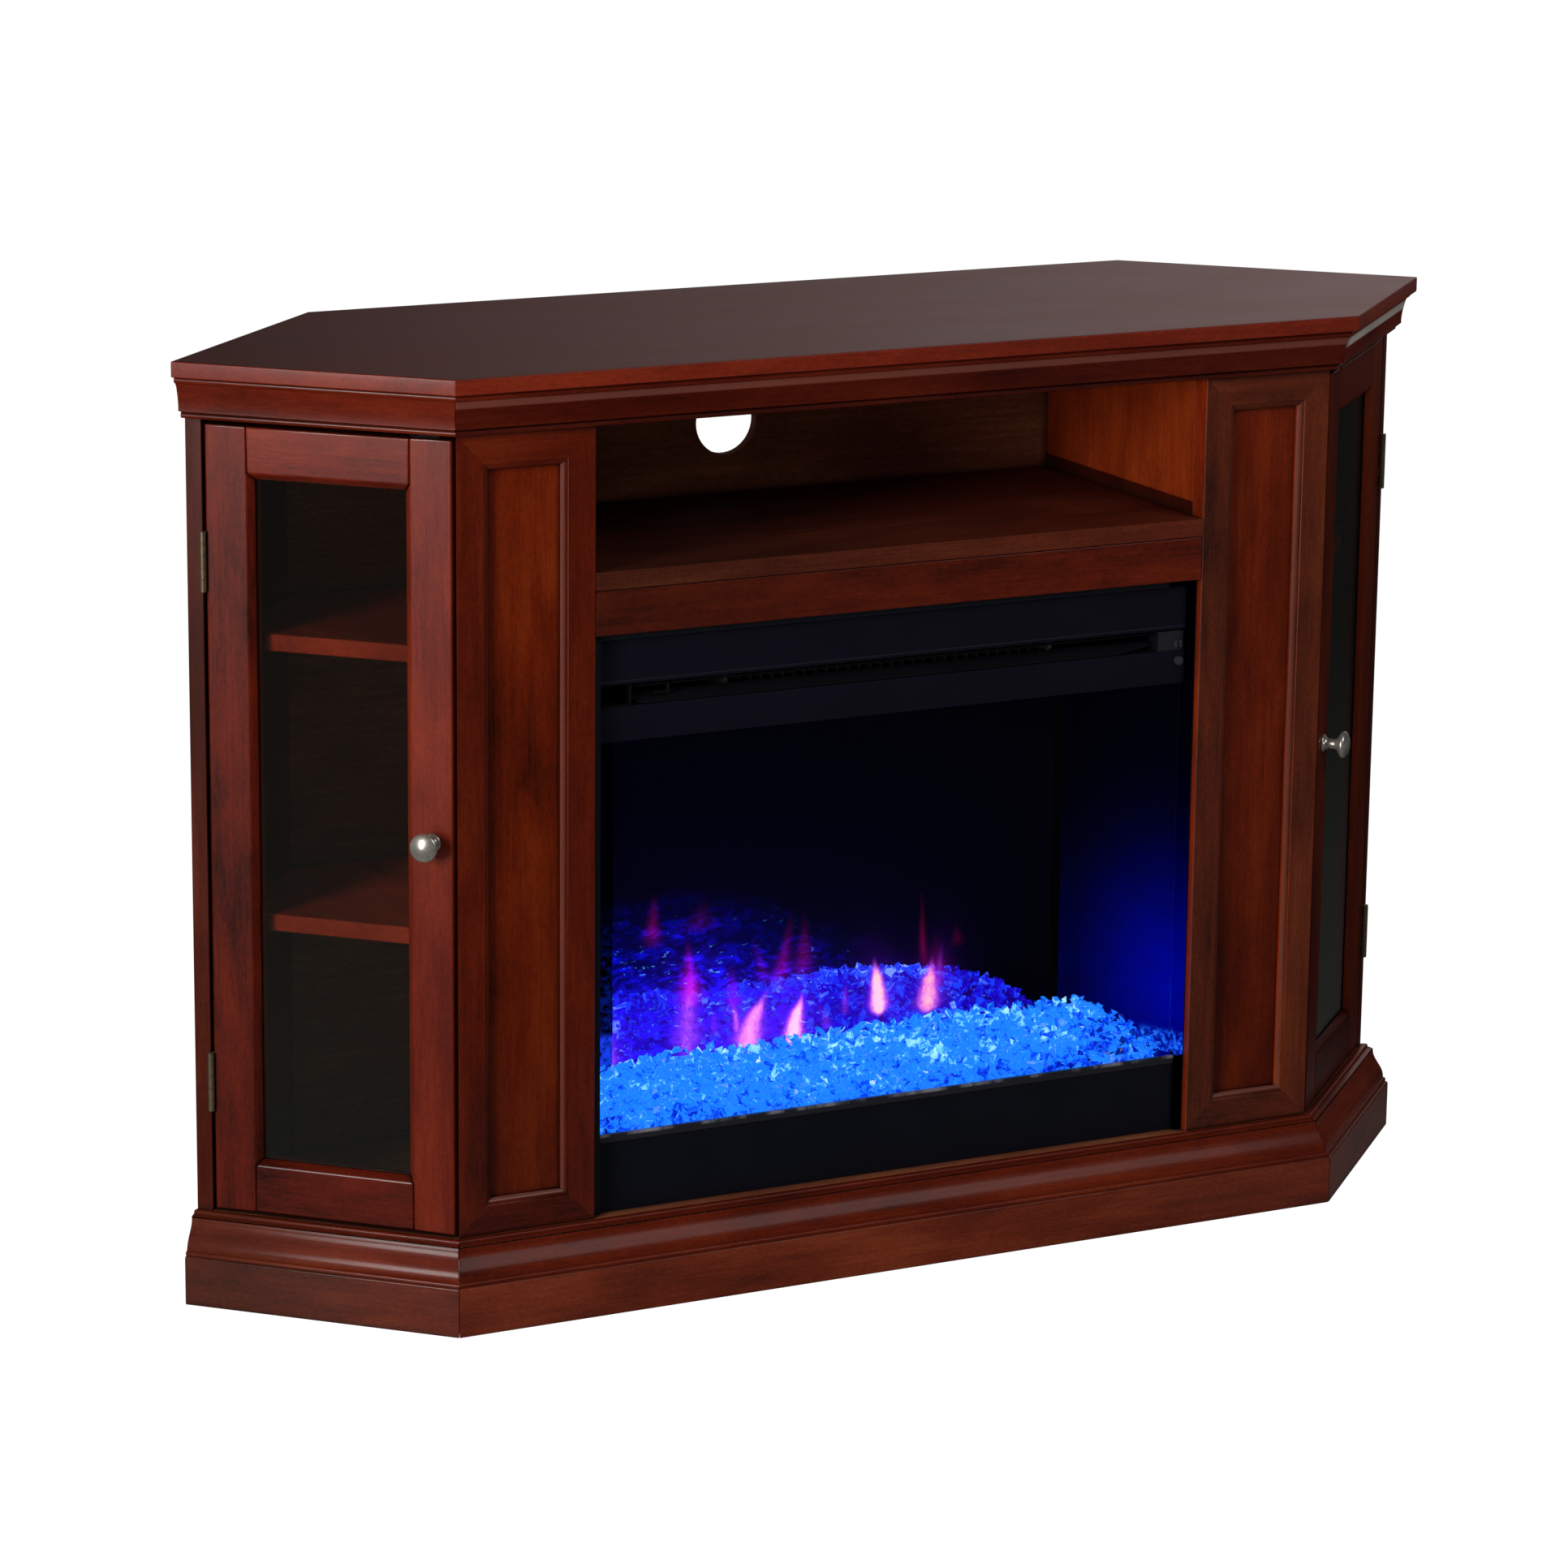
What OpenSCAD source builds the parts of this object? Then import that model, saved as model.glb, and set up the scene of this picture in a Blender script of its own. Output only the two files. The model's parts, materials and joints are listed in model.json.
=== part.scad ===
// Corner media console with an electric fireplace: cherry-stained cabinet, two glazed corner doors,
// an open bay under the top board and a firebox with a crushed-glass ember bed.
// Origin: middle of the floor footprint. +X to the viewer's right, +Y to the wall, +Z up.

/* [Overall] */
// Width of the top board from tip to tip
top_w = 1219; // [1190:1:1260]
// How far each cut corner of the top board runs in along the front
corner_leg = 178; // [150:1:200]
// Depth of the top board, front edge to back edge
top_d = 380; // [370:1:420]
// Height of the whole console
overall_h = 817; // [800:1:860]
// Thickness of the top board
top_t = 13.5; // [10:0.5:18]
// How far the top board reaches past the cabinet faces
top_overhang = 26; // [24:1:32]

/* [Carcass] */
// Depth of the carcass, cabinet face to the rear of the back panel
carcass_d = 294; // [286:1:320]
// Thickness of the dividers, end panels and side shelves
board_t = 15; // [12:1:18]
// Thickness of the face frames, rails and doors
face_t = 19; // [17:1:22]
// Thickness of the back panel
back_t = 12; // [8:1:14]
// Thickness of the cabinet floor
floor_t = 18; // [12:1:20]
// Hairline left between members that are joined side by side
hair = 0.2; // [0.1:0.05:0.4]

/* [Base] */
// Height of the plain plinth boards
plinth_h = 43.5; // [38:0.5:48]
// How far the plinth stands out from the cabinet faces
plinth_out = 28; // [26:1:32]
// Thickness of the plinth boards
plinth_t = 18; // [14:1:20]
// Height of the whole base, plinth and moulding
base_h = 78.5; // [76:0.5:84]
// How far the moulding sits back from the plinth's edge at its foot
base_step = 2.6; // [1.5:0.1:4]
// How far the moulding's sloping face leans back
base_sweep = 10.6; // [8:0.2:12]
// Thickness of the rails and bearers under the floor
bearer_t = 18; // [14:1:22]

/* [Cornice] */
// Height of the cornice under the top board
cornice_h = 37.5; // [34:0.5:42]
// How far the cornice stands out at its top bead
cornice_out = 20.2; // [18:0.2:22]
// Height of the top bead
cornice_bead = 6; // [4:0.5:8]
// How far the hollow of the cornice sweeps in
cornice_sweep = 4.3; // [3:0.1:6]

/* [Centre bay] */
// Height of the open media bay
media_h = 124; // [110:1:140]
// Thickness of the media shelf
media_t = 16; // [12:1:20]
// Height of the apron rail below the media shelf
apron_h = 38.6; // [30:0.2:46]
// Diameter of the cable hole in the back panel
cable_hole_d = 60; // [40:1:70]
// Cable hole, distance from the centre line towards the left
cable_hole_left = 35; // [0:1:150]
// Cable hole, height of its centre above the media shelf
cable_hole_up = 64; // [40:1:80]

/* [Pilasters] */
// Width of a whole pilaster, from the centre opening to the corner
pilaster_total_w = 126.73; // [110:0.01:140]
// Plain width of the pilaster frame members
pilaster_flat = 25.3; // [20:0.1:30]
// Width of the bead along the inside of the frame
pilaster_bead = 5.6; // [4:0.2:8]
// How deep the pilaster panel lies behind the frame's face
panel_recess = 7; // [6:0.5:9]
// Thickness of the pilaster panels
panel_t = 6; // [3:0.5:8]

/* [Doors] */
// Gap along the free edge of a door
door_gap = 3.5; // [3:0.25:5]
// Gap over a door
door_gap_top = 4; // [2:0.5:6]
// Gap under a door
door_gap_bottom = 2.5; // [1.5:0.5:4]
// Plain width of the door stiles
stile_w = 37.5; // [32:0.5:44]
// Plain height of the door's top rail
door_top_rail = 39.5; // [34:0.5:46]
// Plain height of the door's bottom rail
door_bottom_rail = 42; // [36:0.5:50]
// Width of the sloping lip round the glass
lip_w = 5; // [3:0.5:7]
// Depth of the sloping lip
lip_d = 6; // [4:0.5:7]
// Depth from the door's face to its glass
glass_in = 8; // [7.5:0.5:9]
// Width of the ledge that the glass lies on
glass_seat = 9; // [7:0.5:11]
// Thickness of the door glass
door_glass_t = 3; // [2:0.5:4]
// Radius of the doors' outer front edges
arris_r = 2; // [1:0.25:3]
// Height of the knobs above the floor
knob_z = 422; // [380:1:460]
// Diameter of a knob
knob_d = 24.4; // [20:0.2:30]
// How far a knob stands out from its door
knob_l = 25; // [20:0.5:30]

/* [Hinges] */
// Height of a hinge's barrel
hinge_h = 51; // [40:1:64]
// Height of the upper hinges' centre above the floor
hinge_upper_z = 646; // [600:1:680]
// Height of the lower hinges' centre above the floor
hinge_lower_z = 194; // [160:1:240]
// Radius of a hinge's barrel
barrel_r = 2.7; // [2.2:0.1:3]
// Radius of a hinge's pin
pin_r = 1.3; // [1:0.1:1.5]
// Play between a hinge's pin and its knuckles
pin_play = 0.06; // [0.03:0.01:0.1]
// Distance of a hinge's pin in front of the door's face
pin_out = 2.9; // [2.6:0.1:3.4]
// Thickness of a hinge leaf
leaf_t = 1.15; // [0.9:0.05:1.2]
// Half the gap between the closed leaves
leaf_clear = 0.1; // [0.05:0.05:0.3]
// Depth of a hinge leaf
leaf_d = 17; // [12:1:18]
// Gap between two knuckles
knuckle_gap = 0.3; // [0.2:0.05:0.5]

/* [Side shelves] */
// Top of the lower side shelves above the floor
lower_shelf_z = 340; // [280:1:400]
// Top of the upper side shelves above the floor
upper_shelf_z = 583; // [520:1:620]
// Distance of the shelves' front edges behind the door's face
shelf_set_back = 24; // [21:1:40]
// Play round a side shelf
shelf_play = 0.5; // [0.25:0.25:1.5]
// Radius of a shelf pin
shelf_pin_r = 3; // [2:0.25:4]
// How far a shelf pin stands out
shelf_pin_l = 10; // [8:0.5:14]

/* [Firebox] */
// Distance of the firebox flange behind the cabinet face
fire_recess = 7; // [5:0.5:9]
// Depth of the firebox case
fire_d = 242; // [235:1:250]
// Gap between the firebox case and the dividers
fire_gap = 4; // [3:0.5:6]
// Thickness of the sheet steel
sheet_t = 1.2; // [0.8:0.1:1.5]
// Width of the flange's side legs
flange_w = 7.5; // [6:0.5:10]
// Height of the flange's top leg
flange_top = 5; // [4:0.5:8]
// Depth of the flange's inner return
flange_return = 6; // [5.5:0.5:8]
// Play between the panels and the flange
panel_play = 0.2; // [0.1:0.05:0.4]
// Distance of the black front panels behind the flange
panel_in = 5; // [3.5:0.5:5.5]
// Height of the hood above the vent
hood_h = 40.5; // [34:0.5:46]
// Radius of the hood's rolled lower hem
hem_r = 2.6; // [2:0.1:3.2]
// Height of the vent
vent_h = 18.5; // [16:0.5:22]
// Height of the lower hood
lower_hood_h = 30; // [26:0.5:34]
// Height of the black panel below the glass
bottom_panel_h = 62.5; // [56:0.5:68]
// Height of the channel that holds the front glass
channel_h = 7.2; // [6:0.2:9]
// Thickness of the front glass
front_glass_t = 3; // [2.5:0.25:3.5]
// Thickness of the flame screen
screen_t = 3; // [2:0.25:4]
// Distance of the flame screen behind the flange
screen_in = 109; // [100:1:120]
// How far each side wall of the fire leans in between its front edge and the flame screen
liner_splay = 48; // [30:1:60]
// Width of the dark strips that hold the screen's edges
screen_strip = 14; // [8:1:20]
// Crest height of the front ember bed above its tray
bed_crest = 42; // [30:1:50]
// Crest height of the rear ember bed above its tray
rear_crest = 75; // [60:1:85]

/* [Heater and flame drive] */
// Length of the blower wheel
wheel_l = 300; // [240:2:320]
// Radius of the blower wheel
wheel_r = 26; // [20:0.5:27]
// Clear gap round the blower wheel
wheel_gap = 3; // [2:0.5:4]
// Radius of both drive shafts
shaft_r = 3; // [2.5:0.25:4]
// Play of the shafts in their bearings
shaft_play = 0.06; // [0.03:0.01:0.1]
// Number of blades on the blower wheel
blades = 18; // [12:1:24]
// Reach of the flame rotor's reflectors from its axis
paddle_r = 15; // [10:0.5:20]
// Number of reflectors on the flame rotor
paddles = 22; // [12:1:26]
// Travel of the small push buttons
key_travel = 1.5; // [1:0.1:2]
// Travel of the power button
power_travel = 2; // [1:0.1:2.4]
// Radius of the power button
power_r = 4; // [3:0.25:5]

/* [Hidden] */
$fn = 48;

cut = 1;                                   // how far a cutting shape passes the face it cuts
wood = "#5b2415";
wood_dark = "#3c190f";
wood_lit = "#7a3118";
black = "#101114";
steel = "#9a9a96";
brass = "#6d5b3c";
pewter = "#8d8675";

// Plan of the console. u runs along a corner face from its front corner, d runs inwards from a face.
diag = sqrt(0.5);
mitre = sqrt(2) - 1;                       // slope of the mitre between the front and a corner face
front_w = top_w - 2 * corner_leg;          // straight front edge of the top board
corner_x = front_w / 2 - mitre * top_overhang;
face_l = corner_leg / diag - mitre * top_overhang;   // a corner face runs out flush with the top board's tip
back_half = top_w / 2 - (top_d - corner_leg);
front_reach = max(plinth_out - top_overhang, 0);
body_shift = top_overhang - (top_d - front_reach) / 2;
function at(u, d) = [corner_x + (u - d) * diag, (u + d) * diag];
function mirrored(points) = concat(points, [for (i = [len(points) - 1:-1:0]) [-points[i][0], points[i][1]]]);
function arc(cx, cy, r, a0, a1, n = 8) =
  [for (i = [0:n]) let (a = a0 + (a1 - a0) * i / n) [cx + r * cos(a), cy + r * sin(a)]];

// Heights
cabinet_top = overall_h - top_t;
cornice_z = cabinet_top - cornice_h;
media_z = cornice_z - media_h;
apron_top = media_z - media_t - hair;
apron_z = apron_top - apron_h;
floor_z = base_h - floor_t;
half_open = corner_x - pilaster_total_w;     // half the width of the centre opening
back_y = carcass_d - back_t;
inner_u = face_l - board_t;                // inside face of an end panel

// Shapes drawn in (y, z), (x, z) or (x, y) and swept along the third axis
module along_x(x0, x1) { rotate([90, 0, 90]) translate([0, 0, x0]) linear_extrude(x1 - x0) children(); }
module along_y(y0, y1) { translate([0, y1, 0]) rotate([90, 0, 0]) linear_extrude(y1 - y0) children(); }
module along_z(z0, z1) { translate([0, 0, z0]) linear_extrude(z1 - z0) children(); }
module block(x0, x1, y0, y1, z0, z1) {
  translate([x0, y0, z0]) cube([x1 - x0, y1 - y0, z1 - z0]);
}
module rod_x(x0, x1, y, z, r) { translate([x0, y, z]) rotate([0, 90, 0]) cylinder(r = r, h = x1 - x0); }
module rod_y(y0, y1, x, z, r) { translate([x, y1, z]) rotate([90, 0, 0]) cylinder(r = r, h = y1 - y0); }

// From the cabinet's frame (y = 0 on its front face) to the part's frame
module placed() { translate([0, body_shift, 0]) children(); }
// Local frame of a corner face: x along the face, y inwards
module right_face() { translate([corner_x, 0, 0]) rotate([0, 0, 45]) children(); }
module left_face() { mirror([1, 0, 0]) right_face() children(); }
module both_faces() { right_face() children(); left_face() children(); }
module both_sides() { children(); mirror([1, 0, 0]) children(); }

// ---- Top, cornice and head rails ----

module top_board() {
  color(wood_dark) placed() translate([0, -top_overhang, cabinet_top])
    linear_extrude(top_t)
      polygon(mirrored([[front_w / 2, 0], [top_w / 2, corner_leg], [back_half, top_d]]));
}

// Part of the plan that belongs to the front run of a moulding, between its two mitres
module front_run(out, depth) {
  along_z(0, overall_h)
    polygon(mirrored([[corner_x + mitre * out - hair / 2, -out],
                      [corner_x - mitre * depth - hair / 2, depth]]));
}
// The same for a run on a corner face, from the mitre to the square end at the wall
module side_run(out, depth) {
  along_z(0, overall_h)
    polygon([[-mitre * out + hair / 2, -out], [mitre * depth + hair / 2, depth],
             [face_l, depth], [face_l, -out]]);
}

module head_rails() {
  color(wood_dark) placed() {
    intersection() {
      block(-top_w, top_w, 0, face_t, cornice_z, cabinet_top);
      front_run(0, face_t);
    }
    both_faces() intersection() {
      block(-top_w, inner_u, 0, face_t, cornice_z, cabinet_top);
      side_run(0, face_t);
    }
  }
}

cove_top = -cornice_bead - 0.5;
cove_h = cornice_h - cornice_bead - 9;
bead_r = cornice_bead / 2;
cove_out = cornice_out - bead_r - 0.2;
foot_bead_r = 2.6;
module cornice_profile() {
  cove_steps = 8;
  translate([0, cabinet_top]) polygon(concat(
    [[0, -cornice_h], [0, 0]],
    arc(-cornice_out + bead_r, -bead_r, bead_r, 90, 270),
    [for (i = [0:cove_steps])
      [-cove_out + cornice_sweep * sin(90 * i / cove_steps), cove_top - cove_h * i / cove_steps]],
    [[-cove_out + cornice_sweep, cove_top - cove_h - 1], [-10.3, cove_top - cove_h - 1.6]],
    arc(-5, -cornice_h + foot_bead_r + 0.6, foot_bead_r, 120, 250)));
}
module cornice_front() {
  color(wood) placed() intersection() {
    along_x(-front_w, front_w) cornice_profile();
    front_run(cornice_out + cut, 0);
  }
}
module cornice_sides() {
  color(wood) placed() both_faces() intersection() {
    along_x(-front_w, front_w) cornice_profile();
    side_run(cornice_out + cut, 0);
  }
}

// ---- Base ----

plinth_edge = 1.6;
module plinth_profile() {
  polygon([[-plinth_out + plinth_t, 0], [-plinth_out, 0], [-plinth_out, plinth_h - plinth_edge],
           [-plinth_out + plinth_edge, plinth_h], [-plinth_out + plinth_t, plinth_h]]);
}
module plinth_front() {
  color(wood_dark) placed() intersection() {
    along_x(-top_w, top_w) plinth_profile();
    front_run(plinth_out + cut, face_t);
  }
}
module plinth_sides() {
  color(wood_dark) placed() both_faces() intersection() {
    along_x(-top_w, top_w) plinth_profile();
    side_run(plinth_out + cut, face_t);
  }
}

sub_y0 = -plinth_out + plinth_t;           // rear face of the plinth boards
foot_out = plinth_out - base_step;
slope_z0 = plinth_h + 5.5;
slope_z1 = base_h - 5.5;
slope_out = foot_out - 2.4;
ring_out = 6.9;
ring_r = 1.9;
module base_profile() {
  slope_steps = 10;
  polygon(concat(
    [[0, base_h], [0, floor_z], [sub_y0, floor_z], [sub_y0, plinth_h], [-foot_out, plinth_h], [-foot_out, plinth_h + 1.9],
     [-foot_out + 0.8, plinth_h + 3.1], [-slope_out, plinth_h + 3.7]],
    [for (i = [0:slope_steps]) let (t = i / slope_steps)
      [-slope_out + base_sweep * (1 - cos(180 * t)) / 2, slope_z0 + (slope_z1 - slope_z0) * t]],
    [[-slope_out + base_sweep + 0.9, slope_z1 + 1.6], [-ring_out, base_h - 3.1]],
    arc(-ring_out + ring_r, base_h - ring_r, ring_r, 180, 90, 4)));
}
module base_mould_front() {
  color(wood) placed() intersection() {
    along_x(-top_w, top_w) base_profile();
    front_run(plinth_out, 0);
  }
}
module base_mould_sides() {
  color(wood) placed() both_faces() intersection() {
    along_x(-top_w, top_w) base_profile();
    side_run(plinth_out, 0);
  }
}

// Rails behind the plinth and bearers under the dividers carry the cabinet floor
corner_stay = 20;
module sub_base_rails() {
  color(wood_lit) placed() {
    block(-corner_x + corner_stay, corner_x - corner_stay, sub_y0, sub_y0 + bearer_t, 0, floor_z);
    both_sides() block(half_open, half_open + bearer_t, sub_y0 + bearer_t + hair, back_y, 0, floor_z);
    both_faces() block(corner_stay, inner_u, sub_y0, sub_y0 + bearer_t, 0, floor_z);
  }
}
module bottom_board() {
  color(wood_dark) placed() along_z(floor_z, base_h)
    polygon(mirrored([at(0, 0), at(inner_u, 0), at(inner_u, back_y / diag - inner_u)]));
}

// ---- Carcass ----

module divider() {
  color(wood) placed() block(half_open, half_open + board_t, face_t, back_y, base_h, cabinet_top);
}
module divider_left() { mirror([1, 0, 0]) divider(); }
module divider_right() { divider(); }

module end_panel() {
  color(wood) placed() along_z(0, cabinet_top)
    polygon([at(inner_u, 0), at(face_l, 0),
             at(face_l, carcass_d / diag - face_l), at(inner_u, carcass_d / diag - inner_u)]);
}
module end_panel_left() { mirror([1, 0, 0]) end_panel(); }
module end_panel_right() { end_panel(); }

// The firebox goes in from the rear, so the back panel is cut out behind it
rear_cut_rim = 14;
cable_hole_z = media_z + cable_hole_up;
module back_panel() {
  color(wood_lit) placed() difference() {
    along_z(0, cabinet_top)
      polygon(mirrored([at(inner_u, back_y / diag - inner_u), at(inner_u, carcass_d / diag - inner_u)]));
    rod_y(back_y - cut, carcass_d + cut, -cable_hole_left, cable_hole_z, cable_hole_d / 2);
    block(-half_open + rear_cut_rim, half_open - rear_cut_rim, back_y - cut, carcass_d + cut,
          base_h + rear_cut_rim, apron_z - rear_cut_rim);
  }
}

module media_shelf() {
  color(wood_lit) placed() block(-half_open, half_open, 0, back_y, media_z - media_t, media_z);
}
module apron_rail() {
  color(wood) placed()
    block(-half_open + hair, half_open - hair, 0, face_t, apron_z, apron_top);
}

// ---- Pilasters: four mitred members round a recessed panel ----

pilaster_w = pilaster_flat + pilaster_bead;
quirk = 1;
panel_lap = 0.5;
ovolo_r = pilaster_bead - 0.8;
// Cross-section: x from the member's outer edge, y inwards
function member_section(back_edge) = concat(
  [[0, 0], [pilaster_flat, 0], [pilaster_flat + 0.3, quirk]],
  arc(pilaster_flat + pilaster_bead - ovolo_r, quirk + ovolo_r, ovolo_r, -90, 0, 6),
  [[pilaster_w, panel_recess], [pilaster_flat - panel_lap, panel_recess],
   [pilaster_flat - panel_lap, face_t], [back_edge, face_t]]);
module stile_outline(x0, x1, z0, z1) {
  polygon([[x0, z0], [x1, z0 + abs(x1 - x0)], [x1, z1 - abs(x1 - x0)], [x0, z1]]);
}
module rail_outline(x0, x1, z0, z1) {
  w = abs(z1 - z0);
  polygon([[x0 + hair, z0], [x1 - hair, z0], [x1 - w - hair, z1], [x0 + w + hair, z1]]);
}
module pilaster_frame() {
  color(wood) placed() {
    intersection() {
      translate([half_open, 0, 0]) along_z(base_h, cornice_z) polygon(member_section(0));
      along_y(0, face_t) stile_outline(half_open, half_open + pilaster_w, base_h, cornice_z);
    }
    intersection() {
      translate([corner_x, 0, 0]) mirror([1, 0, 0])
        along_z(base_h, cornice_z) polygon(member_section(face_t));
      along_y(0, face_t) stile_outline(corner_x, corner_x - pilaster_w, base_h, cornice_z);
    }
    // The rails' outer ends are cut back along the door's edge
    intersection() {
      union() {
        intersection() {
          translate([0, 0, base_h]) along_x(half_open, corner_x)
            polygon([for (p = member_section(0)) [p[1], p[0]]]);
          along_y(0, face_t) rail_outline(half_open, corner_x, base_h, base_h + pilaster_w);
        }
        intersection() {
          translate([0, 0, cornice_z]) mirror([0, 0, 1]) along_x(half_open, corner_x)
            polygon([for (p = member_section(0)) [p[1], p[0]]]);
          along_y(0, face_t) rail_outline(half_open, corner_x, cornice_z, cornice_z - pilaster_w);
        }
      }
      along_z(0, overall_h)
        polygon([[half_open, 0], [corner_x, 0], [corner_x - face_t, face_t], [half_open, face_t]]);
    }
  }
}
module pilaster_frame_left() { mirror([1, 0, 0]) pilaster_frame(); }
module pilaster_frame_right() { pilaster_frame(); }
module pilaster_panels() {
  inset = pilaster_flat - panel_lap + hair;
  color(wood_lit) placed() both_sides()
    block(half_open + inset, corner_x - inset, panel_recess, panel_recess + panel_t,
          base_h + inset, cornice_z - inset);
}

// ---- Side cabinets: adjustable shelves on pins ----

shelf_y0 = face_t + shelf_play;
module side_shelf(top_z) {
  u0 = shelf_y0 / diag - shelf_set_back;
  u1 = inner_u - shelf_play;
  y1 = back_y - shelf_play;
  x0 = half_open + board_t + shelf_play;
  along_z(top_z - board_t, top_z)
    polygon([[x0, shelf_y0], at(u0, shelf_set_back), at(u1, shelf_set_back),
             at(u1, y1 / diag - u1), [x0, y1]]);
}
module shelf_pair() {
  color(wood_lit) placed() {
    side_shelf(lower_shelf_z);
    side_shelf(upper_shelf_z);
  }
}
module shelves_left() { mirror([1, 0, 0]) shelf_pair(); }
module shelves_right() { shelf_pair(); }

pin_edge = 35;
module shelf_pins() {
  end_front = shelf_set_back + pin_edge;
  end_rear = back_y / diag - inner_u - pin_edge;
  color(steel) placed() for (top_z = [lower_shelf_z, upper_shelf_z]) {
    pin_z = top_z - board_t - shelf_pin_r;
    both_sides() for (y = [face_t + pin_edge, back_y - pin_edge])
      rod_x(half_open + board_t, half_open + board_t + shelf_pin_l, y, pin_z, shelf_pin_r);
    both_faces() for (d = [end_front, end_rear])
      rod_x(inner_u - shelf_pin_l, inner_u, d, pin_z, shelf_pin_r);
  }
}

// ---- Doors ----

door_u0 = door_gap;
hinge_gap = 2 * (leaf_t + leaf_clear);    // filled by the two closed leaves
door_u1 = inner_u - hinge_gap;
door_z0 = base_h + door_gap_bottom;
door_z1 = cornice_z - door_gap_top;
sight_z0 = door_z0 + door_bottom_rail;     // glazed opening, measured to the plain faces
sight_z1 = door_z1 - door_top_rail;
sight_u0 = door_u0 + stile_w;
sight_u1 = door_u1 - stile_w;
seat = glass_seat - lip_w;                 // how far the glass seat is cut behind the plain faces
bead_play = 0.3;

// Cross-section of a door member: x across it from its outer edge, y inwards
function door_section(w, r) = concat(
  arc(r, r, r, 180, 270, 5),
  [[w, 0], [w + lip_w, lip_d], [w + lip_w, face_t], [0, face_t]]);
module door_stile() {
  intersection() {
    along_z(door_z0, door_z1) polygon(door_section(stile_w, arris_r));
    along_y(0, face_t) polygon([
      [0, door_z0], [stile_w, door_z0], [stile_w, sight_z0], [stile_w + lip_w, sight_z0 + lip_w],
      [stile_w + lip_w, sight_z1 - lip_w], [stile_w, sight_z1], [stile_w, door_z1], [0, door_z1]]);
  }
}
module door_rail(w) {
  u0 = sight_u0 + hair;
  u1 = sight_u1 - hair;
  intersection() {
    along_x(door_u0, door_u1) polygon([for (p = door_section(w, arris_r)) [p[1], p[0]]]);
    along_y(0, face_t) polygon([
      [u0, 0], [u1, 0], [u1, w], [u1 - lip_w, w + lip_w], [u0 + lip_w, w + lip_w], [u0, w]]);
  }
}
module door_frame() {
  color(wood) difference() {
    union() {
      translate([door_u0, 0, 0]) door_stile();
      translate([door_u1, 0, 0]) mirror([1, 0, 0]) door_stile();
      translate([0, 0, door_z0]) door_rail(door_bottom_rail);
      translate([0, 0, door_z1]) mirror([0, 0, 1]) door_rail(door_top_rail);
    }
    block(sight_u0 - seat, sight_u1 + seat, glass_in, face_t + cut, sight_z0 - seat, sight_z1 + seat);
  }
}
module door_glass() {
  inset = -seat + bead_play;
  color("#1a2420", 0.4)
    block(sight_u0 + inset, sight_u1 - inset, glass_in, glass_in + door_glass_t,
          sight_z0 + inset, sight_z1 - inset);
}
bead_back = 0.5;                           // the beads end this far inside the door's rear face
module glass_beads() {
  y0 = glass_in + door_glass_t;
  y1 = face_t - bead_back;
  color(wood_dark) {
    for (u = [sight_u0 - seat + bead_play, sight_u1 - lip_w + bead_play])
      block(u, u + glass_seat - 2 * bead_play, y0, y1,
            sight_z0 - seat + bead_play, sight_z1 + seat - bead_play);
    for (z = [sight_z0 - seat + bead_play, sight_z1 - lip_w + bead_play])
      block(sight_u0 + lip_w, sight_u1 - lip_w, y0, y1, z, z + glass_seat - 2 * bead_play);
  }
}

knob_rose_r = 8;
knob_neck_r = 4.6;
module door_knob() {
  head_z = knob_l - 6.5;
  head_r = knob_d / 2;
  color(pewter) translate([door_u0 + stile_w / 2, 0, knob_z]) rotate([90, 0, 0])
    rotate_extrude() polygon(concat(
      [[0, 0], [knob_rose_r, 0], [knob_rose_r, 1.2], [knob_rose_r - 1.4, 2.4], [knob_neck_r + 0.6, 3.4],
       [knob_neck_r, 6], [knob_neck_r, head_z - 6], [knob_neck_r + 2.4, head_z - 3.4]],
      [for (a = [-35:23.5:59]) [head_r * (0.86 + 0.14 * cos(a)), head_z + 2.6 * sin(a)]],
      [for (t = [0.8:-0.2:0]) [head_r * t, head_z + 2.2 + (knob_l - head_z - 2.2) * sqrt(1 - t * t)]]));
}

// Butt hinges: the pin line stands in front of the gap between door and end panel
pin_u = inner_u - hinge_gap / 2;
knuckles = 5;
knuckle_h = hinge_h / knuckles;
leaf_start = 0.2;
module hinge_leaf(side, first) {
  // side is -1 for the door's leaf and 1 for the end panel's leaf
  u0 = side > 0 ? pin_u + leaf_clear : pin_u - leaf_clear - leaf_t;
  u1 = u0 + leaf_t;
  block(u0, u1, leaf_start, leaf_d, 0, hinge_h);
  for (i = [first:2:knuckles - 1]) {
    z0 = i * knuckle_h + (i > 0 ? knuckle_gap / 2 : 0);
    z1 = (i + 1) * knuckle_h - (i < knuckles - 1 ? knuckle_gap / 2 : 0);
    difference() {
      union() {
        block(u0, u1, -pin_out, leaf_start, z0, z1);
        translate([pin_u, -pin_out, z0]) cylinder(r = barrel_r, h = z1 - z0);
      }
      if (side < 0)
        translate([pin_u, -pin_out, z0 - cut]) cylinder(r = pin_r + pin_play, h = z1 - z0 + 2 * cut);
    }
  }
  if (side > 0) translate([pin_u, -pin_out, 0]) cylinder(r = pin_r, h = hinge_h);
}
module case_hinges() {
  color(brass) placed() both_faces() for (z = [hinge_lower_z, hinge_upper_z])
    translate([0, 0, z - hinge_h / 2]) hinge_leaf(1, 0);
}

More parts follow.
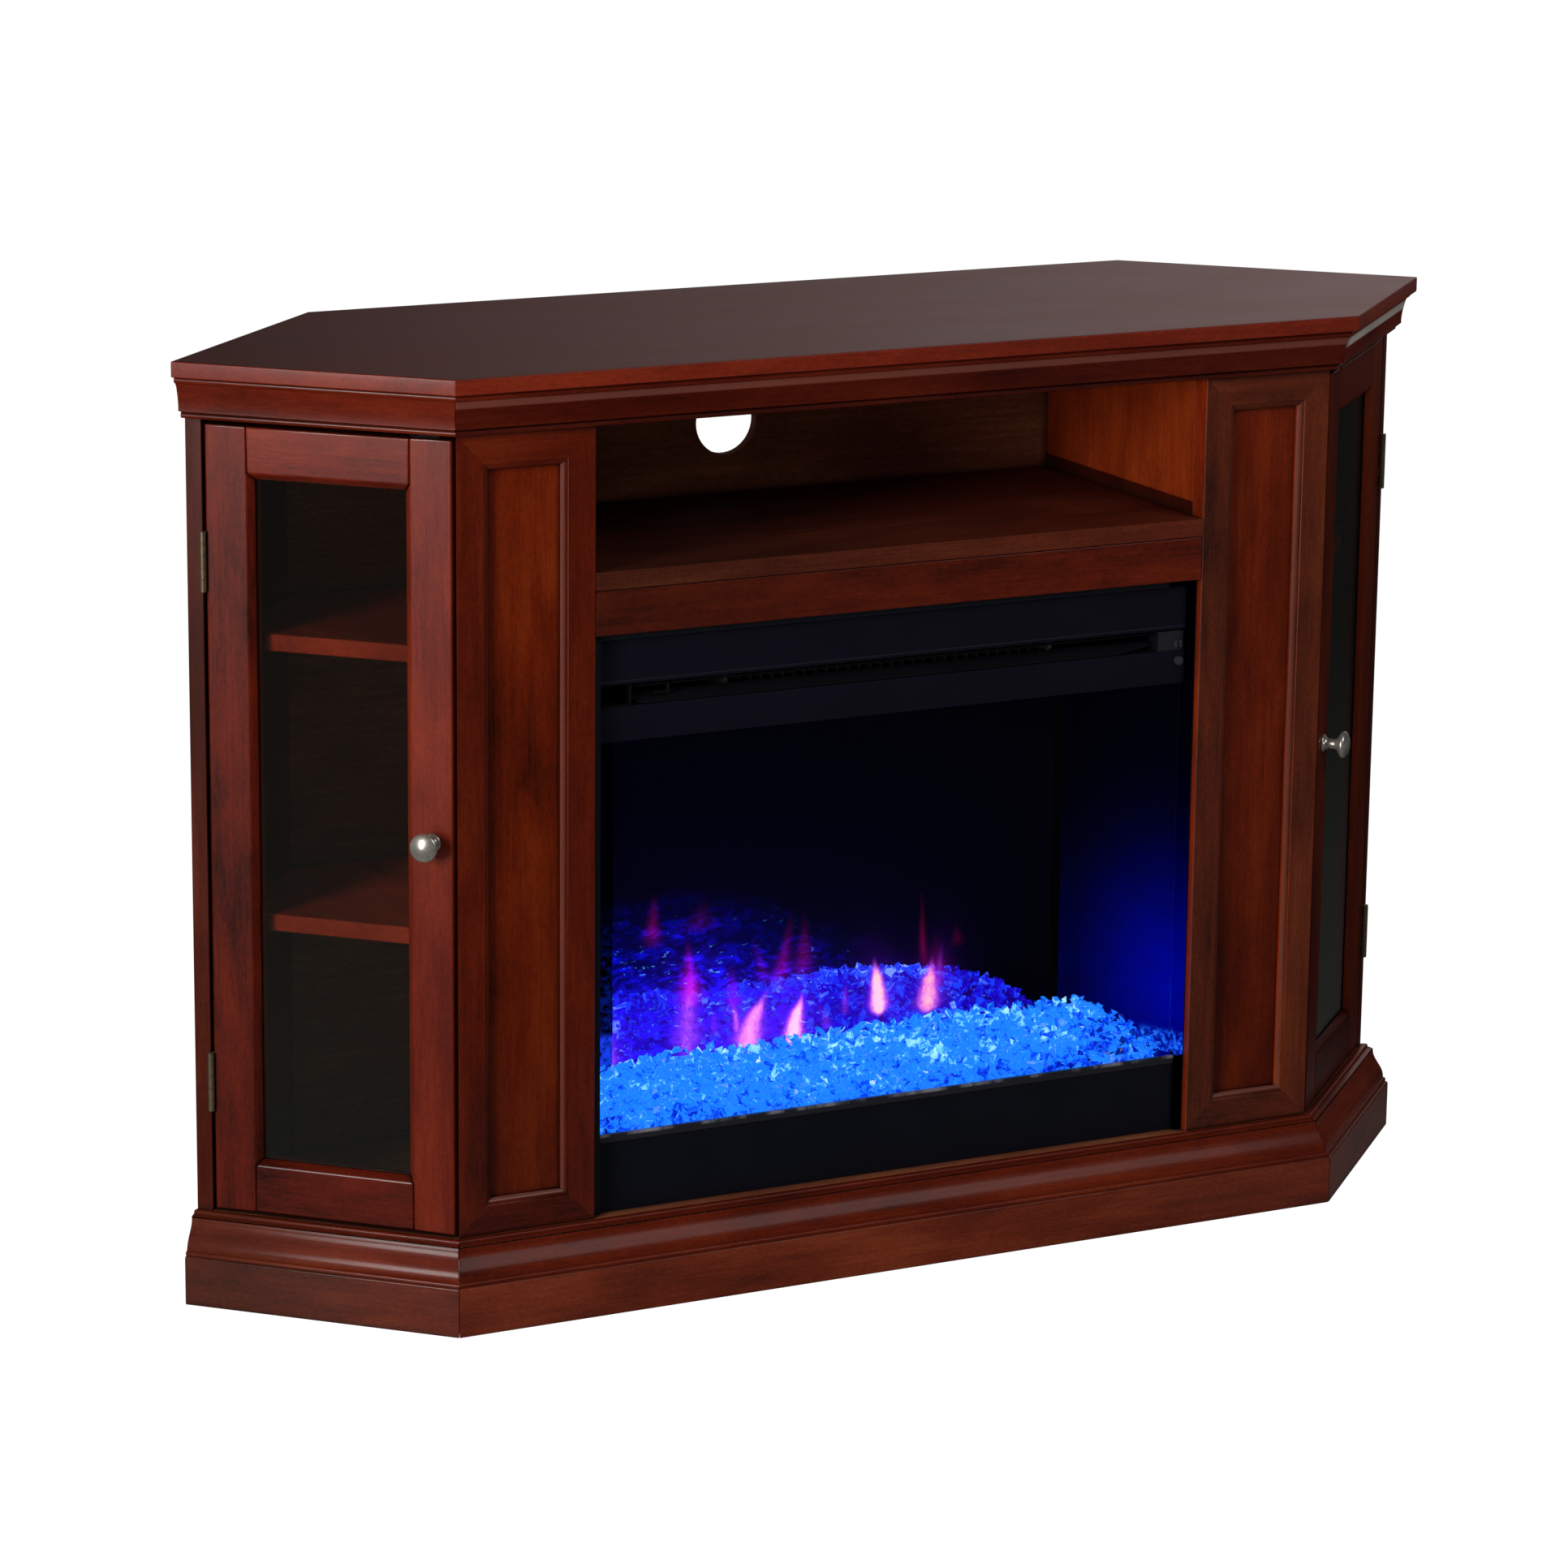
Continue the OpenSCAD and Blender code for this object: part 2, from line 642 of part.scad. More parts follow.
// Magnetic catch under each corner's head rail, and the steel strike on the door
strike_t = 1.2;
catch_u0 = door_u0 + stile_w / 2;
catch_w = 26;
catch_gap = 0.6;
strike_h = 20;
strike_drop = 6;
catch_drop = 28;
catch_d = 14;
module door_catches() {
  color(wood_lit) placed() both_faces() {
    block(catch_u0, catch_u0 + catch_w, face_t, face_t + catch_d, cornice_z, cornice_z + 20);
    block(catch_u0, catch_u0 + catch_w, face_t + strike_t + catch_gap, face_t + catch_d,
          cornice_z - catch_drop, cornice_z);
  }
}
module door_hardware() {
  color(brass) for (z = [hinge_lower_z, hinge_upper_z])
    translate([0, 0, z - hinge_h / 2]) hinge_leaf(-1, 1);
  color(steel)
    block(catch_u0, catch_u0 + catch_w, face_t, face_t + strike_t,
          door_z1 - strike_drop - strike_h, door_z1 - strike_drop);
}

module door_frame_left() { placed() left_face() door_frame(); }
module door_glass_left() { placed() left_face() door_glass(); }
module glass_beads_left() { placed() left_face() glass_beads(); }
module door_knob_left() { placed() left_face() door_knob(); }
module door_hardware_left() { placed() left_face() door_hardware(); }
module door_frame_right() { placed() right_face() door_frame(); }
module door_glass_right() { placed() right_face() door_glass(); }
module glass_beads_right() { placed() right_face() glass_beads(); }
module door_knob_right() { placed() right_face() door_knob(); }
module door_hardware_right() { placed() right_face() door_hardware(); }

// ---- Firebox ----

case_half = half_open - fire_gap;
case_y1 = fire_recess + fire_d;
case_z0 = base_h;
case_z1 = apron_z - 0.5;
lip_half = half_open - 0.5 - flange_w;     // inside edge of the flange's side legs
panel_half = lip_half - panel_play;
bed_back_half = lip_half - liner_splay;    // half width of the ember bed at the flame screen
panel_y = fire_recess + panel_in;
hood_z1 = case_z1 - flange_top - panel_play;
vent_z1 = hood_z1 - hood_h;
vent_z0 = vent_z1 - vent_h;
sight_top = vent_z0 - lower_hood_h;        // lower edge of the lower hood, where the glass shows
panel_z1 = case_z0 + bottom_panel_h;
deck_z = sight_top + 13;                   // underside of the deck that carries the heater
module firebox_case() {
  color(black) placed() {
    difference() {
      block(-case_half, case_half, fire_recess, case_y1, case_z0, case_z1);
      block(-case_half + sheet_t, case_half - sheet_t, fire_recess - cut, case_y1 - sheet_t,
            case_z0 + sheet_t, case_z1 - sheet_t);
      rod_y(case_y1 - sheet_t - cut, case_y1 + cut, gland_x, gland_z, gland_r + gland_play);
      block(-case_half + sheet_t, case_half - sheet_t, fire_recess - cut, panel_y + sheet_t + panel_play,
            case_z0 - cut, case_z0 + sheet_t + cut);
    }
    block(-case_half + sheet_t / 2, case_half - sheet_t / 2, panel_y + 4.5, case_y1 - sheet_t / 2,
          deck_z, deck_z + sheet_t);
    both_sides() {
      block(lip_half, half_open - 0.5, fire_recess, fire_recess + sheet_t, case_z0, case_z1);
      block(lip_half, lip_half + sheet_t, fire_recess, fire_recess + flange_return, case_z0, case_z1);
    }
    block(-half_open + 0.5, half_open - 0.5, fire_recess, fire_recess + sheet_t,
          case_z1 - flange_top, case_z1);
    block(-lip_half, lip_half, fire_recess, fire_recess + flange_return,
          case_z1 - flange_top, case_z1 - flange_top + sheet_t);
  }
}

module vent_hood() {
  color(black) placed() along_x(-panel_half, panel_half) union() {
    translate([panel_y, vent_z1 + hem_r]) square([sheet_t, hood_h - hem_r]);
    translate([panel_y, hood_z1 - sheet_t]) square([12, sheet_t]);
    translate([panel_y + hem_r - 0.6, vent_z1 + hem_r]) circle(r = hem_r);
  }
}

fold_up = 14;                              // height of the lower hood's sloping part
module lower_hood() {
  color(black) placed() difference() {
    along_x(-panel_half, panel_half) polygon([
      [panel_y, vent_z0], [panel_y, sight_top + fold_up], [panel_y + 1, sight_top],
      [panel_y + 1 + sheet_t, sight_top], [panel_y + sheet_t, sight_top + fold_up],
      [panel_y + sheet_t, vent_z0 - sheet_t], [heater_y0 - hair, vent_z0 - sheet_t],
      [heater_y0 - hair, vent_z0]]);
    rod_y(panel_y - cut, panel_y + sheet_t + cut, power_x, power_z, power_r + key_play);
  }
}

channel_y0 = panel_y - 1.2;
glass_y0 = panel_y + 2.7;
channel_y1 = glass_y0 + front_glass_t + 2;
groove_z = panel_z1 + 2;
module bottom_panel() {
  color(black) placed() along_x(-panel_half, panel_half) polygon([
    [panel_y, case_z0 + panel_play], [panel_y, panel_z1], [channel_y1 + 2, panel_z1],
    [channel_y1 + 2, panel_z1 - sheet_t], [panel_y + sheet_t, panel_z1 - sheet_t],
    [panel_y + sheet_t, case_z0 + panel_play]]);
}
module glass_channel() {
  color("#2a2b30") placed() along_x(-panel_half, panel_half) polygon([
    [channel_y0, panel_z1], [channel_y0, panel_z1 + channel_h],
    [glass_y0 - 0.1, panel_z1 + channel_h], [glass_y0 - 0.1, groove_z],
    [glass_y0 + front_glass_t + 0.1, groove_z], [glass_y0 + front_glass_t + 0.1, panel_z1 + channel_h - 2],
    [channel_y1, panel_z1 + channel_h - 2], [channel_y1, panel_z1]]);
}
module front_glass() {
  color("#20242c", 0.25) placed()
    block(-panel_half + 2, panel_half - 2, glass_y0, glass_y0 + front_glass_t, groove_z, deck_z - 0.5);
}

// Splayed side walls, the flame screen between them and the two ember beds
liner_y0 = glass_y0 + front_glass_t + 1;
screen_y = fire_recess + screen_in + 0.5;
liner_y1 = screen_y - sheet_t - 0.4;
tray_y0 = channel_y1 + 2.3;
tray_z = panel_z1 - 4;
module side_liners() {
  color(black) placed() both_sides() along_z(tray_z + sheet_t, deck_z) polygon([
    [lip_half - 0.4, liner_y0], [bed_back_half, liner_y1],
    [bed_back_half - screen_strip, liner_y1], [bed_back_half - screen_strip, liner_y1 + sheet_t],
    [bed_back_half + 0.6, liner_y1 + sheet_t], [lip_half + 0.9, liner_y0]]);
}
module flame_screen() {
  color("#141720", 0.45) placed()
    block(-bed_back_half + 2, bed_back_half - 2, screen_y, screen_y + screen_t, tray_z + sheet_t, deck_z - 0.3);
}
rear_bed_d = 103;
module ember_tray() {
  tray_half = case_half - sheet_t - hair;
  wall_y = liner_y1 - 3;
  color("#c8d4e8", 0.6) placed() {
    block(-tray_half, tray_half, tray_y0, screen_y + screen_t + 2 + rear_bed_d, tray_z, tray_z + sheet_t);
    block(3 - lip_half, lip_half - 3, tray_y0, tray_y0 + sheet_t, tray_z, panel_z1 + 2);
    block(-bed_back_half + 4, bed_back_half - 4, wall_y, wall_y + sheet_t, tray_z, tray_z + 20);
  }
}
// The beds are loose crushed glass; each is one mound with a broken surface
function rubble(y0, z0, y1, z1, n) =
  [for (i = [0:n]) let (t = i / n) [y0 + (y1 - y0) * t, z0 + (z1 - z0) * t + (i % 2 == 0 ? 0 : 2)]];
bed_play = 0.5;
module ember_glass_front() {
  y0 = tray_y0 + sheet_t + bed_play;
  y1 = liner_y1 - 3 - bed_play;
  z0 = tray_z + sheet_t;
  slope = (lip_half - bed_back_half) / (liner_y1 - liner_y0);
  color("#1f7bff") placed() intersection() {
    along_x(-panel_half, panel_half) polygon(concat(
      [[y1, z0], [y0, z0]], rubble(y0, z0 + 7, y1, z0 + bed_crest, 12)));
    along_z(z0, deck_z) polygon(mirrored([
      [lip_half - 3 - slope * (y0 - liner_y0), y0], [lip_half - 3 - slope * (y1 - liner_y0), y1]]));
  }
}
module ember_glass_rear() {
  y0 = screen_y + screen_t + bed_play;
  z0 = tray_z + sheet_t;
  y_crest = y0 + rear_bed_d * 0.72;
  color("#1238b8") placed() along_x(-bed_back_half + 8, bed_back_half - 8) polygon(concat(
    [[y0 + rear_bed_d, z0], [y0, z0]],
    rubble(y0, z0 + rear_crest * 0.3, y_crest, z0 + rear_crest, 10),
    [[y0 + rear_bed_d, z0 + rear_crest * 0.8]]));
}

led_count = 26;
module light_strip() {
  led = 5;
  board_z = tray_z - 4;
  x1 = bed_back_half - 6;
  pitch = (2 * x1 - 20) / (led_count - 1);
  color("#e8eef8") placed() {
    block(-x1, x1, tray_y0 + 34, tray_y0 + 50, board_z, board_z + 1.6);
    for (i = [0:led_count - 1])
      translate([-x1 + 10 + i * pitch - led / 2, tray_y0 + 42 - led / 2, board_z])
        cube([led, led, 3.8]);
  }
}

// Rotor that throws moving light on the flame screen
rotor_y = 165;
rotor_z = case_z0 + 30;
rotor_half = case_half - 40;
bearing_x = rotor_half + 8;
bearing_t = 8;
motor_l = 22;
module flame_rotor() {
  color(steel) placed() {
    rod_x(-bearing_x - 6, bearing_x + 8, rotor_y, rotor_z, shaft_r);
    for (i = [0:paddles - 1])
      translate([-rotor_half + (i + 0.5) * 2 * rotor_half / paddles, rotor_y, rotor_z])
        rotate([i * 40, 0, 0]) cube([14, 1.2, 2 * paddle_r], center = true);
  }
}
module rotor_mounts() {
  floor_top = case_z0 + sheet_t;
  color(steel) placed() {
    difference() {
      block(-bearing_x - bearing_t, -bearing_x, rotor_y - 14, rotor_y + 14, floor_top, rotor_z + 12);
      rod_x(-bearing_x - bearing_t - cut, -bearing_x + cut, rotor_y, rotor_z, shaft_r + shaft_play);
    }
    difference() {
      union() {
        rod_x(bearing_x, bearing_x + motor_l, rotor_y, rotor_z, 17);
        block(bearing_x, bearing_x + motor_l, rotor_y - 10, rotor_y + 10, floor_top, rotor_z);
      }
      rod_x(bearing_x - cut, bearing_x + 12, rotor_y, rotor_z, shaft_r + shaft_play);
    }
  }
}

// Fan heater above the deck
deck_top = deck_z + sheet_t;
heater_y0 = 30;
heater_wall = 3;
heater_half = wheel_l / 2 + heater_wall + 7;
wheel_in = 52;
wheel_up = 40;
wheel_y = heater_y0 + wheel_in;
wheel_z = deck_top + wheel_up;
bore_r = wheel_r + wheel_gap;
heater_y1 = wheel_y + bore_r + 9;
heater_z1 = wheel_z + bore_r + 3;
module heater_box() {
  color("#4a4c50") placed() difference() {
    block(-heater_half, heater_half, heater_y0, heater_y1, deck_top, heater_z1);
    rod_x(-heater_half + heater_wall, heater_half - heater_wall, wheel_y, wheel_z, bore_r);
    block(-heater_half + heater_wall, heater_half - heater_wall, heater_y0 - cut, wheel_y - 16,
          vent_z0 + 0.5, vent_z1);
    block(-heater_half + heater_wall, heater_half - heater_wall, wheel_y + 12, heater_y1 + cut,
          wheel_z - 4, wheel_z + 18);
    rod_x(-heater_half - cut, heater_half + cut, wheel_y, wheel_z, shaft_r + shaft_play);
  }
}
fins = 30;
module heating_element() {
  x1 = heater_half - heater_wall;
  z0 = vent_z0 + 0.5;
  y0 = heater_y0 + 5;
  color(steel) placed() {
    for (z = [z0, (z0 + vent_z1) / 2 - 1, vent_z1 - 2]) block(-x1, x1, y0 + 2, y0 + 6, z, z + 2);
    for (i = [0:fins - 1]) {
      x = -x1 + 4 + i * (2 * x1 - 8.8) / (fins - 1);
      block(x, x + 0.8, y0, y0 + 8, z0, vent_z1);
    }
  }
}
module blower_wheel() {
  blade_w = 6;
  blade_t = 1.4;
  disc_t = 2;
  half = wheel_l / 2;
  color("#c9cbd0") placed() {
    rod_x(-heater_half, heater_half + 16, wheel_y, wheel_z, shaft_r);
    for (x = [-half, -disc_t / 2, half - disc_t])
      rod_x(x, x + disc_t, wheel_y, wheel_z, wheel_r);
    for (i = [0:blades - 1])
      translate([0, wheel_y, wheel_z]) rotate([i * 360 / blades, 0, 0])
        translate([-half, -blade_t / 2, wheel_r - blade_w - 0.5]) cube([wheel_l, blade_t, blade_w]);
  }
}
blower_motor_l = 32;
module blower_motor() {
  x0 = heater_half + 1;
  color("#5a5c60") placed() difference() {
    union() {
      rod_x(x0, x0 + blower_motor_l, wheel_y, wheel_z, 19);
      block(x0, x0 + blower_motor_l, wheel_y - 12, wheel_y + 12, deck_top, wheel_z);
    }
    rod_x(x0 - cut, x0 + 18, wheel_y, wheel_z, shaft_r + shaft_play);
  }
}

// What shows in the vent: a tilted vane between two folded brackets, a guard rod and a small clip
bracket_left = 29.8 - panel_half;
bracket_right = panel_half - 27.8;
bracket_y0 = panel_y + 2;
bracket_foot = 24;
vane_tilt = 58;
vane_w = 14;
module air_deflector() {
  color("#17181c") placed()
    translate([0, bracket_y0 + 1, vent_z0 + 1]) rotate([-vane_tilt, 0, 0])
      along_y(0, 1) polygon([[bracket_left + 13, 0], [bracket_right - 40, 0],
        [bracket_right - hair, vane_w * 0.55], [bracket_right - hair, vane_w],
        [bracket_left + sheet_t + hair, vane_w], [bracket_left + sheet_t + hair, vane_w * 0.6]]);
}
rod_r = 1.1;
rod_y0 = panel_y + 7;
rod_z = vent_z1 - 3;
clip_x = bracket_left + 38;
clip_drop = 8;
module vent_brackets() {
  y1 = heater_y0 - 2;
  z1 = vent_z1 - hair;
  color("#1b1c20") placed() {
    block(bracket_left, bracket_left + sheet_t, bracket_y0, y1, vent_z0, z1);
    block(bracket_left - bracket_foot, bracket_left + sheet_t / 2, bracket_y0, y1, vent_z0, vent_z0 + sheet_t);
    block(bracket_right, bracket_right + sheet_t, bracket_y0, y1, vent_z0, z1);
    rod_x(bracket_left, bracket_right + sheet_t / 2, rod_y0, rod_z, rod_r);
    block(clip_x - 13, clip_x, rod_y0 - 2, rod_y0 + 2, rod_z - clip_drop, rod_z - clip_drop + sheet_t);
    block(clip_x - sheet_t, clip_x, rod_y0 - 2, rod_y0 + 2, rod_z - clip_drop, rod_z);
    for (p = [[-14, 4], [-20, 9]])
      translate([bracket_left + p[0], bracket_y0 + p[1], vent_z0]) cylinder(r = 2.2, h = 2.6);
  }
}

// Controls at the right end of the vent
key_play = 0.3;
key_w = 3;
key_h = 6.5;
key_z = vent_z0 + 2.5;
keys_x = [panel_half - 9.8, panel_half - 5.2];
fascia_y = panel_y + 2;
fascia_t = 2;
fascia_x0 = bracket_right + sheet_t + 0.4;
pcb_y = fascia_y + 7;
power_x = panel_half - 6.8;
power_z = vent_z0 - 9;
switch_y0 = panel_y + sheet_t + 6;
module control_panel() {
  fascia_x1 = panel_half - 0.4;
  color("#1d1f24") placed() {
    difference() {
      union() {
        block(fascia_x0, fascia_x1, fascia_y, fascia_y + fascia_t, vent_z0, vent_z1 - 1);
        block(fascia_x0, fascia_x1, pcb_y, pcb_y + 1.6, vent_z0, vent_z1 - 1);
        block(fascia_x0, fascia_x0 + 1.5, fascia_y, pcb_y + 1, vent_z0, vent_z1 - 1);
        block(fascia_x0 + 7, fascia_x0 + 12, fascia_y - 0.6, fascia_y + 1, key_z + 3.5, key_z + 8.5);
      }
      for (x = keys_x)
        block(x - key_play, x + key_w + key_play, fascia_y - cut, fascia_y + fascia_t + cut,
              key_z - key_play, key_z + key_h + key_play);
    }
    block(power_x - 6, power_x + 5, switch_y0, heater_y0 - 2, deck_top, vent_z0 - sheet_t);
  }
}
module small_key(x) {
  color("#3a3d44") placed() block(x, x + key_w, fascia_y - 1.6, pcb_y - key_travel - 0.6, key_z, key_z + key_h);
}
module heat_button() { small_key(keys_x[0]); }
module timer_button() { small_key(keys_x[1]); }
module power_button() {
  color("#4a4d55") placed()
    rod_y(panel_y - 2.5, switch_y0 - power_travel - 0.4, power_x, power_z, power_r);
}

gland_x = case_half - 60;
gland_z = case_z0 + 32;
gland_r = 7;
gland_play = 0.1;
cord_r = 3.6;
module cord_gland() {
  color(black) placed() difference() {
    union() {
      rod_y(case_y1 - 9, case_y1, gland_x, gland_z, gland_r);
      rod_y(case_y1, case_y1 + 3, gland_x, gland_z, gland_r + 3);
      rod_y(case_y1 - 9, case_y1 - sheet_t - 0.3, gland_x, gland_z, gland_r + 2);
    }
    rod_y(case_y1 - 10, case_y1 + 4, gland_x, gland_z, cord_r);
  }
}

top_board();
head_rails();
cornice_front();
cornice_sides();
plinth_front();
plinth_sides();
base_mould_front();
base_mould_sides();
sub_base_rails();
bottom_board();
divider_left();
divider_right();
pilaster_frame_left();
pilaster_frame_right();
pilaster_panels();
media_shelf();
apron_rail();
back_panel();
end_panel_left();
end_panel_right();
shelves_left();
shelves_right();
shelf_pins();
door_catches();
case_hinges();
door_frame_left();
door_glass_left();
glass_beads_left();
door_knob_left();
door_hardware_left();
door_frame_right();
door_glass_right();
glass_beads_right();
door_knob_right();
door_hardware_right();
firebox_case();
vent_hood();
lower_hood();
bottom_panel();
glass_channel();
front_glass();
flame_screen();
side_liners();
ember_tray();
ember_glass_front();
ember_glass_rear();
light_strip();
flame_rotor();
rotor_mounts();
heater_box();
heating_element();
blower_wheel();
blower_motor();
air_deflector();
vent_brackets();
control_panel();
power_button();
heat_button();
timer_button();
cord_gland();
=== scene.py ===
"""A corner media console with an electric fireplace.

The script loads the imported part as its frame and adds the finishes, the rounded arrises, the beds of crushed
glass, the flame picture, the studio and the camera.
"""

import json
import math
import random

import bmesh
import bpy
import numpy as np
from mathutils import Matrix, Vector, noise


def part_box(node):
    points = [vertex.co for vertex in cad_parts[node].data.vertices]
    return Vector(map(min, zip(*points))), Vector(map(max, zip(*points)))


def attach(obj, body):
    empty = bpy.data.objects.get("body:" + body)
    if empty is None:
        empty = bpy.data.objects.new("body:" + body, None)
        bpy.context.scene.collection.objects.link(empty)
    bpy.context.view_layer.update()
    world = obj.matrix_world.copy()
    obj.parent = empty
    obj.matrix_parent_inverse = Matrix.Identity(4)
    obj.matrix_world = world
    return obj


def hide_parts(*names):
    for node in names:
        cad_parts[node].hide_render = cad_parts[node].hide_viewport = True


bl_info = {
    "name": "Corner Fireplace Console",
    "version": (1, 0, 0),
    "blender": (4, 5, 0),
    "location": "3D View > Sidebar > Fireplace",
    "description": "Finishes, ember glass, flames and studio for a corner fireplace console",
    "category": "Object",
}

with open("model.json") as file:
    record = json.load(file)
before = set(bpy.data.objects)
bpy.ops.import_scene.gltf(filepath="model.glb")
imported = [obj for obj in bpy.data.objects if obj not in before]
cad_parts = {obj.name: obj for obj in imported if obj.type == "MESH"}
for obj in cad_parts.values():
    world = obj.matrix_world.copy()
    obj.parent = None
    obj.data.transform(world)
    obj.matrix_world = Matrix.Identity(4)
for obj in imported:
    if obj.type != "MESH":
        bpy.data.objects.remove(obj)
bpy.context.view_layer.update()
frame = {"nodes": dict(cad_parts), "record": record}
NODES = frame["nodes"]
BODY_OF = {node: body for body, nodes in frame["record"]["behaviour"]["bodies"].items() for node in nodes}
MM = 0.001
BLACK = (0.0, 0.0, 0.0)
# The plane of the cabinet's face, which the apron and the pilasters share
FACE_Y = -0.163

# ---------------------------------------------------------------- shader maths


class Sock:
    """A shader socket that Python expressions work on: each operation adds its Math node."""

    def __init__(self, finish, socket):
        self.finish = finish
        self.socket = socket

    def math(self, operation, *values, clamp=False):
        settings = {"operation": operation, "use_clamp": clamp}
        return self.finish.node("ShaderNodeMath", settings, dict(enumerate(values)))

    def __add__(self, other):
        return self.math("ADD", self, other)

    __radd__ = __add__

    def __sub__(self, other):
        return self.math("SUBTRACT", self, other)

    def __rsub__(self, other):
        return self.math("SUBTRACT", other, self)

    def __mul__(self, other):
        return self.math("MULTIPLY", self, other)

    __rmul__ = __mul__

    def __truediv__(self, other):
        return self.math("DIVIDE", self, other)

    def __pow__(self, other):
        return self.math("POWER", self, other)

    def __rpow__(self, other):
        return self.math("POWER", other, self)

    def __neg__(self):
        return self.math("MULTIPLY", self, -1.0)

    def clamp(self):
        return self.math("ADD", self, 0.0, clamp=True)

    def smooth(self, low, high):
        """0 below low, 1 above high, eased between."""
        sockets = {"Value": self, "From Min": low, "From Max": high}
        return self.finish.node("ShaderNodeMapRange", {"interpolation_type": "SMOOTHSTEP"}, sockets)

    def below(self, low, high):
        """1 below low, 0 above high, eased between."""
        return 1.0 - self.smooth(low, high)

    def between(self, start, full, ebb, end):
        """1 from full to ebb, 0 before start and after end, eased on the way."""
        return self.smooth(start, full) * self.below(ebb, end)


class Finish:
    """A material or world being written. node() makes every node in it."""

    def __init__(self, name, kind="materials"):
        self.owner = getattr(bpy.data, kind).new(name)
        self.owner.use_nodes = True
        self.tree = self.owner.node_tree
        self.tree.nodes.clear()

    def node(self, kind, settings=None, sockets=None, out=0):
        """A node of one kind: its settings are set first, then its sockets' values or links."""
        made = self.tree.nodes.new(kind)
        for key, value in (settings or {}).items():
            if key == "stops":
                ramp = made.color_ramp
                while len(ramp.elements) < len(value):
                    ramp.elements.new(0.5)
                for element, (place, colour) in zip(ramp.elements, value):
                    element.position = place
                    element.color = (*colour, 1.0)
            else:
                setattr(made, key, value)
        for key, value in (sockets or {}).items():
            if isinstance(value, Sock):
                self.tree.links.new(value.socket, made.inputs[key])
            else:
                made.inputs[key].default_value = value
        return Sock(self, made.outputs[out]) if made.outputs else None

    def attribute(self, name, out="Fac"):
        return self.node("ShaderNodeAttribute", {"attribute_name": name}, out=out)

    def place(self):
        """Object coordinates, which are the part's own metres."""
        return self.node("ShaderNodeTexCoord", out="Object")

    def facing(self, direction):
        """How squarely a face looks in a direction, from -1 to 1."""
        sockets = {0: self.node("ShaderNodeNewGeometry", out="Normal"), 1: direction}
        return self.node("ShaderNodeVectorMath", {"operation": "DOT_PRODUCT"}, sockets, out="Value")

    def split(self, vector):
        node = self.node("ShaderNodeSeparateXYZ", sockets={0: vector}).socket.node
        return [Sock(self, output) for output in node.outputs]

    def rays(self):
        """Whether the ray comes from the camera, from a mirroring face and through a clear one."""
        node = self.node("ShaderNodeLightPath").socket.node
        return [Sock(self, node.outputs[f"Is {kind} Ray"]) for kind in ("Camera", "Glossy", "Transmission")]

    def grain_noise(self, vector, factors, detail=2.0, rough=0.5, swirl=0.0):
        """Noise whose scale is given in cells per metre, as one number or along each axis."""
        if isinstance(factors, float):
            factors = (factors, factors, factors)
        at = self.node("ShaderNodeVectorMath", {"operation": "MULTIPLY"}, {0: vector, 1: factors})
        sockets = {"Vector": at, "Scale": 1.0, "Detail": detail, "Roughness": rough, "Distortion": swirl}
        return self.node("ShaderNodeTexNoise", None, sockets, out="Fac")

    def mix(self, factor, a, b, blend="MIX"):
        """Colours a and b mixed."""
        settings = {"data_type": "RGBA", "blend_type": blend}
        a, b = (v if isinstance(v, Sock) else (*v, 1.0) for v in (a, b))
        return self.node("ShaderNodeMix", settings, {0: factor, 6: a, 7: b}, out=2)

    def tinted(self, factor, colour, tint):
        """A colour multiplied by a tint, as far as the factor says."""
        return self.mix(factor, colour, self.mix(1.0, colour, tint, "MULTIPLY"))

    def ramp(self, factor, stops):
        return self.node("ShaderNodeValToRGB", {"stops": stops}, {"Fac": factor}, out="Color")

    def bump(self, height, distance, strength=1.0):
        sockets = {"Height": height, "Distance": distance, "Strength": strength}
        return self.node("ShaderNodeBump", None, sockets)

    def surface(self, shader):
        """Ends the material with this shader and returns it."""
        self.node("ShaderNodeOutputMaterial", {"target": "ALL"}, {"Surface": shader})
        return self.owner

    def principled(self, sockets):
        return self.node("ShaderNodeBsdfPrincipled", None, sockets, out="BSDF")

    def coat(self, sockets):
        """Ends the material with one principled shader."""
        return self.surface(self.principled(sockets))

    def blend(self, factor, under, over):
        """Ends the material with two shaders, the second laid over the first by the factor."""
        return self.surface(self.node("ShaderNodeMixShader", None, {0: factor, 1: under, 2: over}))


# ---------------------------------------------------------------- settings


def colour_setting(name, description, default):
    return bpy.props.FloatVectorProperty(name=name, description=description, subtype="COLOR", default=default)


def length_setting(name, description, default, low):
    unit = {"subtype": "DISTANCE", "unit": "LENGTH"}
    return bpy.props.FloatProperty(name=name, description=description, default=default, min=low, **unit)


def power_setting(name, description, default):
    unit = {"subtype": "POWER", "unit": "POWER"}
    return bpy.props.FloatProperty(name=name, description=description, default=default, **unit)


class WoodSettings(bpy.types.PropertyGroup):
    """The cabinet's stain and lacquer."""

    light: colour_setting("Light stain", "Stain where the figure is palest", (0.25, 0.034, 0.0085))
    middle: colour_setting("Cherry stain", "The stain's main colour", (0.135, 0.0135, 0.0040))
    # The dark glaze also serves as painted shade in corners and creases.
    dark: colour_setting("Dark glaze", "Glaze in joints and blotches", (0.024, 0.0038, 0.0022))
    arris: length_setting("Arris", "Width of the rounded edges", 0.0010, 0.0001)
    sheen: bpy.props.FloatProperty(
        name="Lacquer roughness",
        description="Roughness of the satin lacquer",
        subtype="FACTOR",
        default=0.34,
        min=0.0,
        max=1.0,
    )


